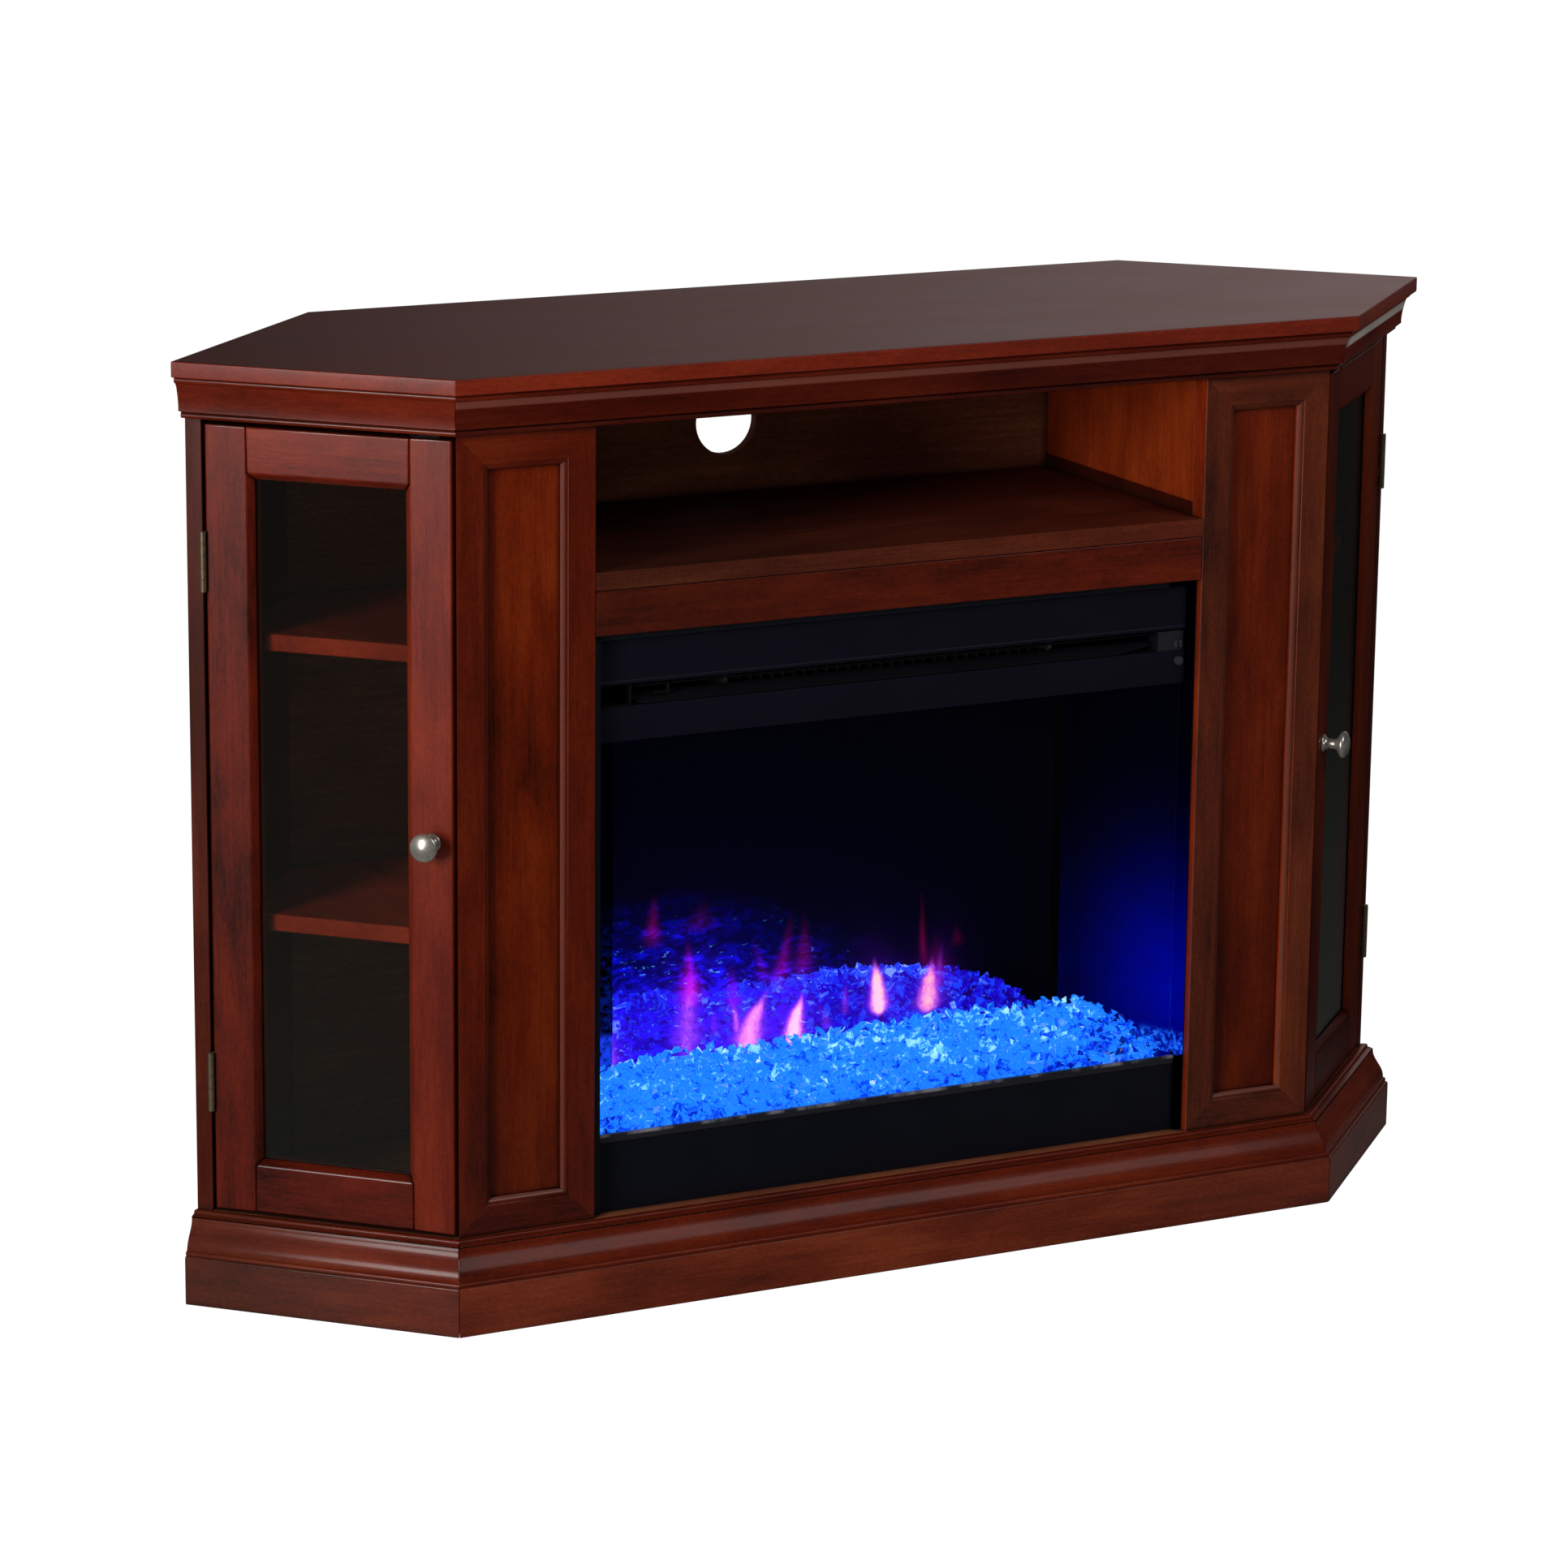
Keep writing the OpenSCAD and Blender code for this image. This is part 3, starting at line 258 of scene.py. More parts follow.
class FireSettings(bpy.types.PropertyGroup):
    """The ember glass and the flame picture."""

    crystal: length_setting("Crystal size", "Mean size of one piece of crushed glass", 0.0125, 0.003)
    spacing: length_setting("Crystal spacing", "Distance between neighbouring pieces", 0.0070, 0.002)
    ice: colour_setting("Lit glass", "Colour of the glass where the lamps reach it", (0.012, 0.22, 1.0))
    deep: colour_setting("Deep glass", "Colour of the glass away from the lamps", (0.0, 0.012, 0.55))
    flame: colour_setting("Flame", "Colour of a flame's heart", (0.85, 0.26, 0.50))


class StudioSettings(bpy.types.PropertyGroup):
    """The lamps and the floor."""

    key: power_setting("Side lamp", "Power of the large lamp on the left", 76.0)
    fill: power_setting("Front lamp", "Power of the weak lamp in front", 16.0)
    ambient: bpy.props.FloatProperty(
        name="Room light", description="Strength of the even light from all round", default=0.24, min=0.0
    )
    floor: colour_setting("Floor", "Colour of the floor", (0.50, 0.50, 0.50))


# ---------------------------------------------------------------- mesh helpers


def dress(obj, material):
    """Gives obj this material alone."""
    obj.data.materials.clear()
    obj.data.materials.append(material)


def stand_in(name, mesh, material, node):
    """A new piece that rides with a CAD node's body and stands for it."""
    obj = bpy.data.objects.new(name, mesh)
    bpy.context.scene.collection.objects.link(obj)
    dress(obj, material)
    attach(obj, BODY_OF[node])
    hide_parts(node)
    return obj


def mesh_of(bm, name):
    """The bmesh written out as a new mesh."""
    mesh = bpy.data.meshes.new(name)
    bm.to_mesh(mesh)
    bm.free()
    return mesh


def set_attribute(mesh, name, kind, domain, values):
    layer = mesh.attributes.new(name, kind, domain)
    field = "vector" if kind == "FLOAT_VECTOR" else "value"
    layer.data.foreach_set(field, np.asarray(values, dtype=np.float32).ravel())


def islands(mesh):
    """A number for each vertex, the same within each connected solid."""
    link = list(range(len(mesh.vertices)))

    def root(v):
        while link[v] != v:
            link[v] = link[link[v]]
            v = link[v]
        return v

    for edge in mesh.edges:
        a, b = (root(v) for v in edge.vertices)
        link[a] = b
    return np.array([root(v) for v in range(len(link))])


# Depth of stain of each board, darker below 0 and lighter above, for a node's boards in order of x, y and z.
# Partly each board's own stain, partly painted light and shade: the left door's hinge stile and bottom rail
# are darker partly as painted shade, and the lower left shelf is lighter as painted light.
BOARD_TONES_AND_SHADE = {
    "door_frame_left": (-1.6, -2.0, 0.3, 0.5),
    "door_frame_right": (0.2, -0.5, 0.2, 0.6),
    "pilaster_frame_left": (-0.2, -0.6, 0.3, -0.3),
    "pilaster_frame_right": (-0.4, -0.6, 0.2, -0.1),
    "pilaster_panels": (0.3, -0.1),
    "apron_rail": (-0.9,),
    "base_mould_front": (-0.5,),
    "plinth_front": (0.1,),
    "plinth_sides": (-0.1, 0.2),
    "shelves_left": (2.0, 0.0),
}


def grain_of(points, seed):
    """Each point of a board as (along, across, through), shifted so that no two boards share a figure."""
    best = None
    for turn in (0, math.radians(45), math.radians(-45)):
        spin = np.array(Matrix.Rotation(turn, 3, "Z"))
        local = points @ spin
        span = local.max(0) - local.min(0)
        if best is None or span.prod() < best[0] * 0.98:
            best = (span.prod(), local, span)
    order = np.argsort(-best[2])
    local = best[1][:, order]
    dice = random.Random(seed)
    return local + np.array([dice.uniform(-20, 20) for _ in range(3)])


def grain_attributes(mesh, name):
    points = np.array([v.co for v in mesh.vertices])
    board = islands(mesh)
    grain = np.zeros_like(points)
    tone = np.zeros(len(points))
    tones_and_shade = BOARD_TONES_AND_SHADE.get(name, ())

    def middle(label):
        return tuple(points[board == label].mean(0).round(3))

    for number, label in enumerate(sorted(set(board), key=middle)):
        chosen = board == label
        grain[chosen] = grain_of(points[chosen], f"{name}{number}")
        tone[chosen] = tones_and_shade[number] if number < len(tones_and_shade) else 0.0
    set_attribute(mesh, "grain", "FLOAT_VECTOR", "POINT", grain)
    set_attribute(mesh, "tone", "FLOAT", "POINT", tone)


# A convex edge turned by more than SHARP may be an arris. One turned by less than CREASE is shaded smooth.
SHARP = math.radians(26.0)
CREASE = math.radians(48)


def face_width(face, edge):
    """How far a face reaches from the line of one of its edges."""
    start, end = (v.co for v in edge.verts)
    along = (end - start).normalized()
    return max(((v.co - start) - along * (v.co - start).dot(along)).length for v in face.verts)


def mitred(face):
    """Whether a face is the cut of a frame's mitre, which closes on its neighbour with no gap."""
    n = face.normal
    return abs(n.y) < 0.02 and abs(n.x) > 0.5 and abs(abs(n.x) - abs(n.z)) < 0.02


def softened(node, material, width, grain=True):
    """A copy of a CAD node, which it stands for, with its facets joined into whole faces and rounded arrises.

    Rounded faces get the attribute arris, and the oblique ones among the others the attribute bead.
    """
    bm = bmesh.new()
    bm.from_mesh(NODES[node].data)
    bmesh.ops.remove_doubles(bm, verts=bm.verts, dist=0.00002)
    bmesh.ops.dissolve_limit(bm, angle_limit=math.radians(0.4), verts=bm.verts, edges=bm.edges)
    arrises = [
        e
        for e in bm.edges
        if len(e.link_faces) == 2
        and e.calc_face_angle(0.0) > SHARP
        and e.is_convex
        and min(face_width(f, e) for f in e.link_faces) > 2.4 * width
        and e.calc_length() > 2.0 * width
        and not any(mitred(f) for f in e.link_faces)
    ]
    shape = {"segments": 2, "profile": 0.5, "clamp_overlap": False, "miter_outer": "ARC"}
    made = bmesh.ops.bevel(bm, geom=arrises, offset=width, offset_type="OFFSET", affect="EDGES", **shape)
    flag = bm.faces.layers.float.new("arris")
    bead = bm.faces.layers.float.new("bead")
    for face in made["faces"]:
        if face.is_valid:
            face[flag] = 1.0
    for face in bm.faces:
        face.smooth = True
        if face[flag] == 0.0 and max(abs(c) for c in face.normal) < 0.99:
            face[bead] = 1.0
    for edge in bm.edges:
        edge.smooth = len(edge.link_faces) == 2 and edge.calc_face_angle(0.0) < CREASE
    mesh = mesh_of(bm, node + "_soft")
    if grain:
        grain_attributes(mesh, node)
    obj = stand_in(node + "_soft", mesh, material, node)
    normals = obj.modifiers.new("even_normals", "WEIGHTED_NORMAL")
    normals.weight = 90
    normals.keep_sharp = True


# ---------------------------------------------------------------- finishes


# Colour of the light that is painted on mouldings and beads
PALE = (0.24, 0.10, 0.075)


def wood_finish(
    name, wood, lift, sheen, blotch=1.0, roughness=None, top=1.0, painted_floor_shade=0.0, lacquer=0.35, glaze_and_shade=0.85,
    painted_side_light=None, painted_shadow_band=None, painted_cove_light=None, shine=None, painted_shade_span=None, gleam=0.0,
):
    """Cherry stain under satin lacquer: blotches, streaked figure, pores, a glaze in joints that is partly
    painted shade in creases, and rubbed arrises that are partly painted highlights.

    lift scales the stain's colours, set per board partly for the wood's own colour and partly as
    painted light and shade. top scales them once more on what faces up, a painted shade. painted_floor_shade
    darkens them towards the floor as painted shade. painted_side_light is a direction and a gain: painted
    light on what faces that way. painted_shadow_band is two heights, and what faces left between them is dark
    with painted shadow. painted_cove_light is the two heights of a moulding with a painted light row under its
    top and painted shade below. shine is the two heights of a moulding whose right-hand run has a painted
    reflection, a bright row, in its hollow. painted_shade_span is two places across the cabinet: from the
    second to the first the stain grows dark with painted shade and the lacquer dull. gleam
    paints a highlight on the beads that face up and left.
    """
    f = Finish(name)
    at = f.attribute("grain", out="Vector")
    cloud = f.grain_noise(at, (4.0, 13.0, 13.0), 3.0, 0.55, 0.4)
    patch = f.grain_noise(at, (9.0, 30.0, 30.0), 4.0, 0.6, 0.8)
    streak = f.grain_noise(at, (7.0, 170.0, 170.0), 4.0, 0.62, 0.5)
    fibre = f.grain_noise(at, (18.0, 620.0, 620.0), 3.0, 0.65)
    speck = f.grain_noise(at, (190.0, 420.0, 420.0), 2.0, 0.6)
    depth = (cloud - 0.5) * (1.05 * blotch) + (patch - 0.5) * (0.62 * blotch) + (streak - 0.5) * 0.38
    depth = depth + (fibre - 0.5) * 0.40 + (speck - 0.5) * 0.46
    shade = (depth + f.attribute("tone") * 0.12 + 0.5).clamp()
    lit, mid, low = ([c * k for c, k in zip(tint, lift)] for tint in (wood.light, wood.middle, wood.dark))
    stain = f.ramp(shade, [(0.0, low), (0.5, mid), (1.0, lit)])
    x, _, z = f.split(f.place())
    # Painted shade: what faces up is darker.
    if top < 1.0:
        stain = f.tinted(f.facing((0, 0, 1)).smooth(0.7, 0.95), stain, (top, top, top))
    # Painted shade: the stain darkens towards the floor.
    if painted_floor_shade > 0.0:
        stain = f.tinted(z.below(0.05, 0.75) * painted_floor_shade, stain, (0.4, 0.4, 0.4))
    # The dark glaze lies where ambient occlusion finds corners and creases: partly a glaze in the joints,
    # partly painted shade.
    near = f.node("ShaderNodeAmbientOcclusion", {"samples": 6}, {"Distance": 0.009}, out="AO")
    glaze = near.below(0.34, 0.94)
    # Painted light: what faces one way gets a lighter stain and less glaze.
    if painted_side_light:
        direction, gain = painted_side_light
        side = f.facing(direction).smooth(0.88, 0.98)
        stain = f.tinted(side, stain, gain)
        glaze = glaze * (1.0 - side * 0.75)
    # Painted shadow: a dark band on what faces left, between two heights.
    if painted_shadow_band:
        shaded = z.between(painted_shadow_band[0] - MM, painted_shadow_band[0], painted_shadow_band[1] - MM, painted_shadow_band[1] + MM)
        stain = f.tinted(shaded * f.facing((-1, 0, 0)).smooth(0.5, 0.9), stain, (0.16, 0.14, 0.14))
    # Painted shade below the moulding's top, and a painted light row under it.
    if painted_cove_light:
        rise = (z - painted_cove_light[0]) / (painted_cove_light[1] - painted_cove_light[0])
        below = [(0.0, (0.72, 0.8, 1.0)), (0.30, (0.62, 0.62, 0.7)), (0.63, (0.56, 0.54, 0.6))]
        stain = f.mix(1.0, stain, f.ramp(rise.clamp(), [*below, (0.68, (1.0, 1.0, 1.0))]), "MULTIPLY")
        stain = f.mix(rise.between(0.65, 0.68, 0.80, 0.84) * 0.42, stain, PALE)
    # Painted reflection: a bright row in the hollow of the moulding's right-hand run.
    if shine:
        rise = (z - shine[0]) / (shine[1] - shine[0])
        row = rise.between(0.54, 0.60, 0.74, 0.84) * x.smooth(0.42, 0.44)
        stain = f.mix(row * (0.55 + patch * 0.5), stain, (0.74, 0.66, 0.58))
    # Painted shade: towards one end the stain grows darker, and the lacquer rougher and duller so that its
    # highlights fade.
    away = 0.0
    if painted_shade_span:
        away = x.below(*painted_shade_span)
        stain = f.tinted(away * 0.72, stain, (0.42, 0.60, 0.62))
    filled = f.mix(glaze * glaze_and_shade, stain, [c * 0.45 for c in wood.dark])
    # Painted highlight on the beads that face up and left.
    if gleam:
        toward = f.facing((-0.60, -0.30, 0.74)).smooth(0.35, 0.85)
        filled = f.mix(f.attribute("bead") * toward * gleam, filled, PALE)
    # Arrises are lighter: partly wear through the stain, partly a painted highlight.
    arris = f.attribute("arris")
    wear_and_highlight = arris * (0.2 + patch * 0.9)
    rough = (roughness or wood.sheen) + (cloud - 0.5) * 0.10 + (fibre - 0.5) * 0.10
    sockets = {
        "Base Color": f.mix((wear_and_highlight * 0.7).clamp(), filled, [c * 1.6 for c in lit]),
        "Roughness": (rough + glaze * 0.18 - arris * 0.14 + away * 0.30).clamp(),
        "Normal": f.bump(streak * 0.5 + fibre * 0.5, 0.00005, 0.5),
        "Specular IOR Level": sheen,
        "Coat Weight": ((arris * 0.5 + lacquer) * (1.0 - away)).clamp() if lacquer else 0.0,
        "Coat Roughness": 0.13,
    }
    return f.coat(sockets)


def raw_wood_finish(name):
    """Unstained poplar, for the rails that don't show."""
    f = Finish(name)
    at = f.attribute("grain", out="Vector")
    figure = f.grain_noise(at, (5.0, 70.0, 70.0), 4.0, 0.6, 0.6)
    fibre = f.grain_noise(at, (25.0, 1200.0, 1200.0), 2.0, 0.6)
    colour = f.ramp((figure * 0.8 + fibre * 0.2), [(0.25, (0.20, 0.12, 0.065)), (0.75, (0.46, 0.32, 0.19))])
    sockets = {"Base Color": colour, "Roughness": 0.6 + fibre * 0.2, "Normal": f.bump(fibre, 0.0001)}
    return f.coat(sockets)


def metal_finish(name, colours, scale, roughness, patina=0.5, metallic=1.0):
    """Plated or antiqued metal: patina in patches, a fine brushed grain."""
    f = Finish(name)
    at = f.place()
    patch = f.grain_noise(at, scale, 4.0, 0.6)
    fine = f.grain_noise(at, scale * 9, 2.0, 0.5)
    shade = (patch * 0.7 + fine * 0.3 + (patina - 0.5) * -0.4).clamp()
    sockets = {
        "Base Color": f.ramp(shade, [(0.25, colours[0]), (0.75, colours[1])]),
        "Metallic": metallic,
        "Roughness": (roughness + (0.5 - patch) * 0.25).clamp(),
        "Normal": f.bump(fine, 0.00002, 0.4),
    }
    return f.coat(sockets)


def black_finish(name, colour, roughness=0.42, orange=0.00003, painted_glints=0.0, sheen=0.22):
    """Powder coat on sheet steel with a fine orange peel. painted_glints is the strength of a painted
    highlight, pale glints along the channel's lip.
    """
    f = Finish(name)
    at = f.place()
    peel = f.grain_noise(at, 900.0, 2.0, 0.5)
    cloud = f.grain_noise(at, 14.0, 3.0, 0.5)
    tone = f.mix((cloud - 0.5) * 0.8 + 0.5, [c * 0.8 for c in colour], [c * 1.25 for c in colour])
    # Painted highlight: pale glints along the channel's lip.
    if painted_glints:
        glint = f.grain_noise(at, (40.0, 1.0, 1.0), 3.0, 0.6).smooth(0.44, 0.66)
        lip = f.split(at)[2].smooth(0.1452, 0.1466)
        tone = f.mix(glint * lip * painted_glints, tone, (0.42, 0.43, 0.50))
    sockets = {
        "Base Color": tone,
        "Specular IOR Level": sheen,
        "Roughness": (roughness + (cloud - 0.5) * 0.16).clamp(),
        "Normal": f.bump(peel, orange, 0.6),
    }
    return f.coat(sockets)


def plastic_finish(name, colour, roughness):
    """Moulded plastic with a fine texture."""
    f = Finish(name)
    spark = f.grain_noise(f.place(), 1400.0, 2.0, 0.6)
    sockets = {
        "Base Color": f.mix(spark, [c * 0.8 for c in colour], [c * 1.2 for c in colour]),
        "Roughness": (roughness + (spark - 0.5) * 0.2).clamp(),
        "Normal": f.bump(spark, 0.00003),
    }
    return f.coat(sockets)


def glass_finish(name, tint, shine, roughness, dust=0.0, painted_reflection_film=0.0):
    """A clear pane that passes light with a tint and mirrors a little. painted_reflection_film greys it as a
    painted reflection, the more the lower.
    """
    f = Finish(name)
    clear = f.node("ShaderNodeBsdfTransparent", None, {"Color": (*tint, 1.0)})
    at = f.place()
    smear = f.grain_noise(at, 6.0, 3.0, 0.55)
    sheen = f.principled(
        {
            "Base Color": (0.054, 0.057, 0.050, 1.0) if painted_reflection_film else (0.02, 0.025, 0.024, 1.0),
            "Roughness": (roughness + smear.smooth(0.5, 0.8) * dust).clamp(),
            "Specular IOR Level": 1.0,
        }
    )
    edge = f.node("ShaderNodeFresnel", None, {"IOR": 1.5})
    low = f.split(at)[2].below(0.10, 0.55)
    # A grey painted reflection covers the pane, the more the lower.
    cover = (edge * shine + 0.01 + (low * 2.2 + 0.3) * painted_reflection_film).clamp()
    return f.blend(cover, clear, sheen)


# ---------------------------------------------------------------- the fire

SHARDS = 30
# Depth under a heap's top and spacing of its two layers of shards
LAYERS = ((0.0035, 1.0), (0.0105, 1.4))
# Depth of the sheet that closes the gaps between the shards
UNDER = 0.0075
# Thickness of the tray's floor
TRAY_FLOOR = 0.0012
# Heights at which the fronts of the two beds start to rise
FRONT_FOOT = 0.150
REAR_FOOT = 0.158


def shard_shapes():
    """Broken lumps of glass: convex, with flat faces and sharp corners, about 1 across."""
    shapes = []
    dice = random.Random(7)
    for _ in range(SHARDS):
        bm = bmesh.new()
        stretch = Vector((dice.uniform(0.75, 1.25), dice.uniform(0.6, 1.0), dice.uniform(0.45, 0.85)))
        for _ in range(dice.choice((7, 8, 9, 10))):
            p = Vector([dice.gauss(0, 1) for _ in range(3)]).normalized() * dice.uniform(0.38, 0.56)
            bm.verts.new([a * b for a, b in zip(p, stretch)])
        hull = bmesh.ops.convex_hull(bm, input=bm.verts)
        inside = [v for v in hull["geom_interior"] if isinstance(v, bmesh.types.BMVert)]
        bmesh.ops.delete(bm, geom=inside, context="VERTS")
        bmesh.ops.dissolve_limit(bm, angle_limit=math.radians(12), verts=bm.verts, edges=bm.edges)
        bmesh.ops.recalc_face_normals(bm, faces=bm.faces)
        bm.verts.index_update()
        polygons = [[v.index for v in face.verts] for face in bm.faces]
        shapes.append((np.array([v.co for v in bm.verts]), polygons))
        bm.free()
    return shapes


def scatter(dice, fire, depths, ends, keep, height, lumps, sizes, lowest=-1.0):
    """The places of a heap's shards, in rows from the front to the back.

    ends gives a row's left and right end, keep brings a shard back inside, and height is the heap's top.
    lumps is the range of its unevenness, and sizes the range of a shard's share of the crystal size. A shard
    whose middle isn't above lowest is left out.
    """
    places = []
    near, far = depths
    for drop, pace in LAYERS:
        step = fire.spacing * pace
        y = near
        while y < far:
            x, right = ends(y)
            while x < right:
                px = x + dice.uniform(-0.4, 0.4) * fire.spacing
                py = y + dice.uniform(-0.4, 0.4) * fire.spacing
                py = min(max(py, near), far)
                px = keep(px, py)
                top = height(px, py) - drop + dice.uniform(*lumps)
                if top > lowest:
                    places.append((px, py, top, fire.crystal * dice.uniform(*sizes)))
                x += step
            y += step
    return places


def glowing(name, verts, faces, glow, node, material):
    """A piece of the fire from its points and faces, with the glow of each face."""
    mesh = bpy.data.meshes.new(name)
    mesh.from_pydata([tuple(v) for v in verts], [], faces)
    set_attribute(mesh, "glow", "FLOAT", "FACE", glow)
    stand_in(name, mesh, material, node)


def heap(name, places, light, node, material, seed):
    """One mesh of many shards, placed by (x, y, z, size). light gives the level and contrast of the
    painted glow at a place.
    """
    shapes = shard_shapes()
    dice = random.Random(seed)
    verts, faces, glow = [], [], []
    for x, y, z, size in places:
        points, polygons = shapes[dice.randrange(SHARDS)]
        axis = Vector([dice.gauss(0, 1) for _ in range(3)]).normalized()
        turn = np.array(Matrix.Rotation(dice.uniform(0, 2 * math.pi), 3, axis))
        start = len(verts)
        verts.extend((points * size) @ turn + np.array((x, y, z)))
        level, contrast = light(x, y)
        level += dice.gauss(0, 0.16) * contrast
        for polygon in polygons:
            faces.append([start + i for i in polygon])
            glow.append(level + (dice.random() - 0.5) * contrast)
    glowing(name, verts, faces, glow, node, material)


def underlay(name, spans, height, level, node, material):
    """A lumpy sheet just under the top of a heap, so that no gap between the shards shows black. It glows
    with the same painted light as the shards.
    """
    (x0, x1), (y0, y1) = spans
    across, deep = 90, 16
    verts = []
    for j in range(deep + 1):
        y = y0 + (y1 - y0) * j / deep
        for i in range(across + 1):
            x = x0 + (x1 - x0) * i / across
            verts.append((x, y, height(x, y) - UNDER))
    row = across + 1
    corners = [j * row + i for j in range(deep) for i in range(across)]
    faces = [(a, a + 1, a + row + 1, a + row) for a in corners]
    glowing(name, verts, faces, [level] * len(faces), node, material)


def ember_finish(name, stops, power, spark):
    """Crushed glass that glows with painted light for the lamps below it: mostly one flat colour, some facets
    deeper, painted pale patches and sparks.
    """
    f = Finish(name)
    glow = f.attribute("glow")
    at = f.place()
    ripple = f.grain_noise(at, 330.0, 3.0, 0.6, 0.8)
    patch = f.grain_noise(at, 75.0, 3.0, 0.65, 0.6)
    level = (glow + (ripple - 0.5) * 0.34 + (patch - 0.5) * 0.62).clamp()
    glint = f.grain_noise(at, 520.0, 1.0, 0.5).smooth(0.68, 0.76)
    colour = f.mix(glint * spark * level.smooth(0.2, 0.5), f.ramp(level, stops), (0.35, 0.85, 1.1))
    sockets = {
        "Base Color": f.mix(0.8, colour, (0.0, 0.01, 0.08)),
        "Roughness": 0.12,
        "Specular IOR Level": 0.6,
        "Emission Color": colour,
        "Emission Strength": power,
        "Normal": f.bump(ripple, 0.0004, 0.5),
    }
    return f.coat(sockets)


def crest_height(x, steps):
    """Height between listed (x, z) steps."""
    return float(np.interp(x, [s[0] for s in steps], [s[1] for s in steps]))


# Tops of the two beds as the photo's side sees them, as (x, z) in mm
FRONT_CREST = [
    (-290, 148), (-270, 166), (-240, 180), (-200, 186), (-60, 184), (-20, 187),
    (130, 187), (180, 186), (226, 186), (250, 185), (270, 181), (286, 175),
]
REAR_CREST = [
    (-240, 200), (-195, 211), (-134, 211), (-91, 204), (-10, 208), (36, 211),
    (90, 207), (135, 202), (164, 197), (190, 188), (215, 176), (240, 158),
]
# Upper edge of the painted reflection of the bed that the half-mirrored screen shows, as (x, z) in mm
BED_REFLECTION_CREST = [
    (-240, 325), (-195, 325), (-153, 330), (-120, 326), (-73, 312),
    (-30, 292), (30, 266), (110, 226), (150, 200),
]
# Each flame: base x, base z, tip x, tip z and half width in mm on the screen, strength, warmth
FLAMES = [
    (-46, 173, -38, 216, 9.5, 1.00, 0.85),
    (-151, 178, -147, 244, 15, 0.44, 0.22),
    (-91, 175, -74, 222, 14, 0.85, 0.42),
    (-102, 190, -107, 218, 3.6, 0.50, 0.40),
    (40, 191, 35, 238, 8.5, 1.05, 1.00),
    (90, 187, 94, 232, 12, 0.90, 0.50),
    (101, 200, 104, 244, 4.0, 0.32, 0.10),
    (6, 194, 5, 222, 3.2, 0.36, 0.05),
    (-232, 172, -231, 212, 13, 0.66, 0.35),
    (-124, 190, -126, 212, 4, 0.22, 0.10),
    (-146, 164, -140, 184, 5, 0.35, 0.10),
    (-12, 182, -22, 205, 4.5, 0.28, 0.00),
]
# The thin red tongues above them: base x, base z, tip x, tip z, half width, strength
TONGUES = [
    (85, 236, 81, 292, 3.2, 0.40),
    (98, 214, 98, 250, 12, 0.22),
    (-185, 284, -184, 318, 6, 0.34),
    (-140, 290, -136, 312, 11, 0.10),
    (-60, 234, -50, 284, 6.5, 0.30),
    (-37, 240, -35, 284, 7.5, 0.26),
    (-148, 226, -150, 270, 9, 0.62),
    (120, 246, 118, 262, 5, 0.18),
    (-105, 214, -108, 246, 7, 0.18),
    (-75, 236, -84, 268, 5, 0.12),
]


PICTURE = ("heart", "warm", "halo", "tongue", "veil")


def flame_picture(x, z):
    """The layers of the flame picture, named in PICTURE, at points of the screen in millimetres."""
    wave = np.array([noise.noise(Vector((a / 14, b / 22, 3.7))) for a, b in zip(x, z)])
    heart, warm, halo, tongue = (np.zeros_like(x) for _ in range(4))
    for bx, bz, tx, tz, half, power, warmth in FLAMES:
        t = (z - bz) / (tz - bz)
        sway = wave * 2.0 * np.clip(t, 0, 1.4) - (tx - bx) * 0.25 * np.sin(np.pi * np.clip(t, 0, 1))
        middle = bx + (tx - bx) * t + sway
        body = half * np.clip((t + 0.12) / 0.30, 0, 1) ** 0.5 * np.clip(1.10 - t, 0, 1) ** 0.85 + 1.3
        core = np.exp(-(np.abs((x - middle) / body) ** 2.0))
        core *= np.clip((t + 0.12) / 0.14, 0, 1) * np.clip((1.16 - t) / 0.50, 0, 1) * power
        heart = np.maximum(heart, core)
        warm = np.maximum(warm, core * warmth)
        tall = (tz - bz) * 0.85
        spread = ((x - middle) / (half * 2.4)) ** 2 + ((z - bz - tall * 0.45) / tall) ** 2
        halo += np.exp(-spread * 0.8) * power * 0.40
    for bx, bz, tx, tz, half, power in TONGUES:
        t = (z - bz) / (tz - bz)
        middle = bx + (tx - bx) * t + wave * 2.5 * t
        off = (x - middle) / (half * np.clip(1.15 - t * 0.8, 0.15, 1.4))
        body = np.clip((t + 0.25) / 0.4, 0, 1) * np.clip((1.25 - t) / 0.9, 0, 1)
        tongue += np.exp(-(off**2)) * body * power
    # The painted reflection of the bed in the half-mirrored screen lies under this crest.
    crest = np.interp(x, *zip(*BED_REFLECTION_CREST))
    veil = np.clip((crest - z) / 90, 0, 1) * np.clip((200 - x) / 280, 0, 1)
    return [np.clip(field, 0, 1) for field in (heart, warm, halo, tongue, veil)]


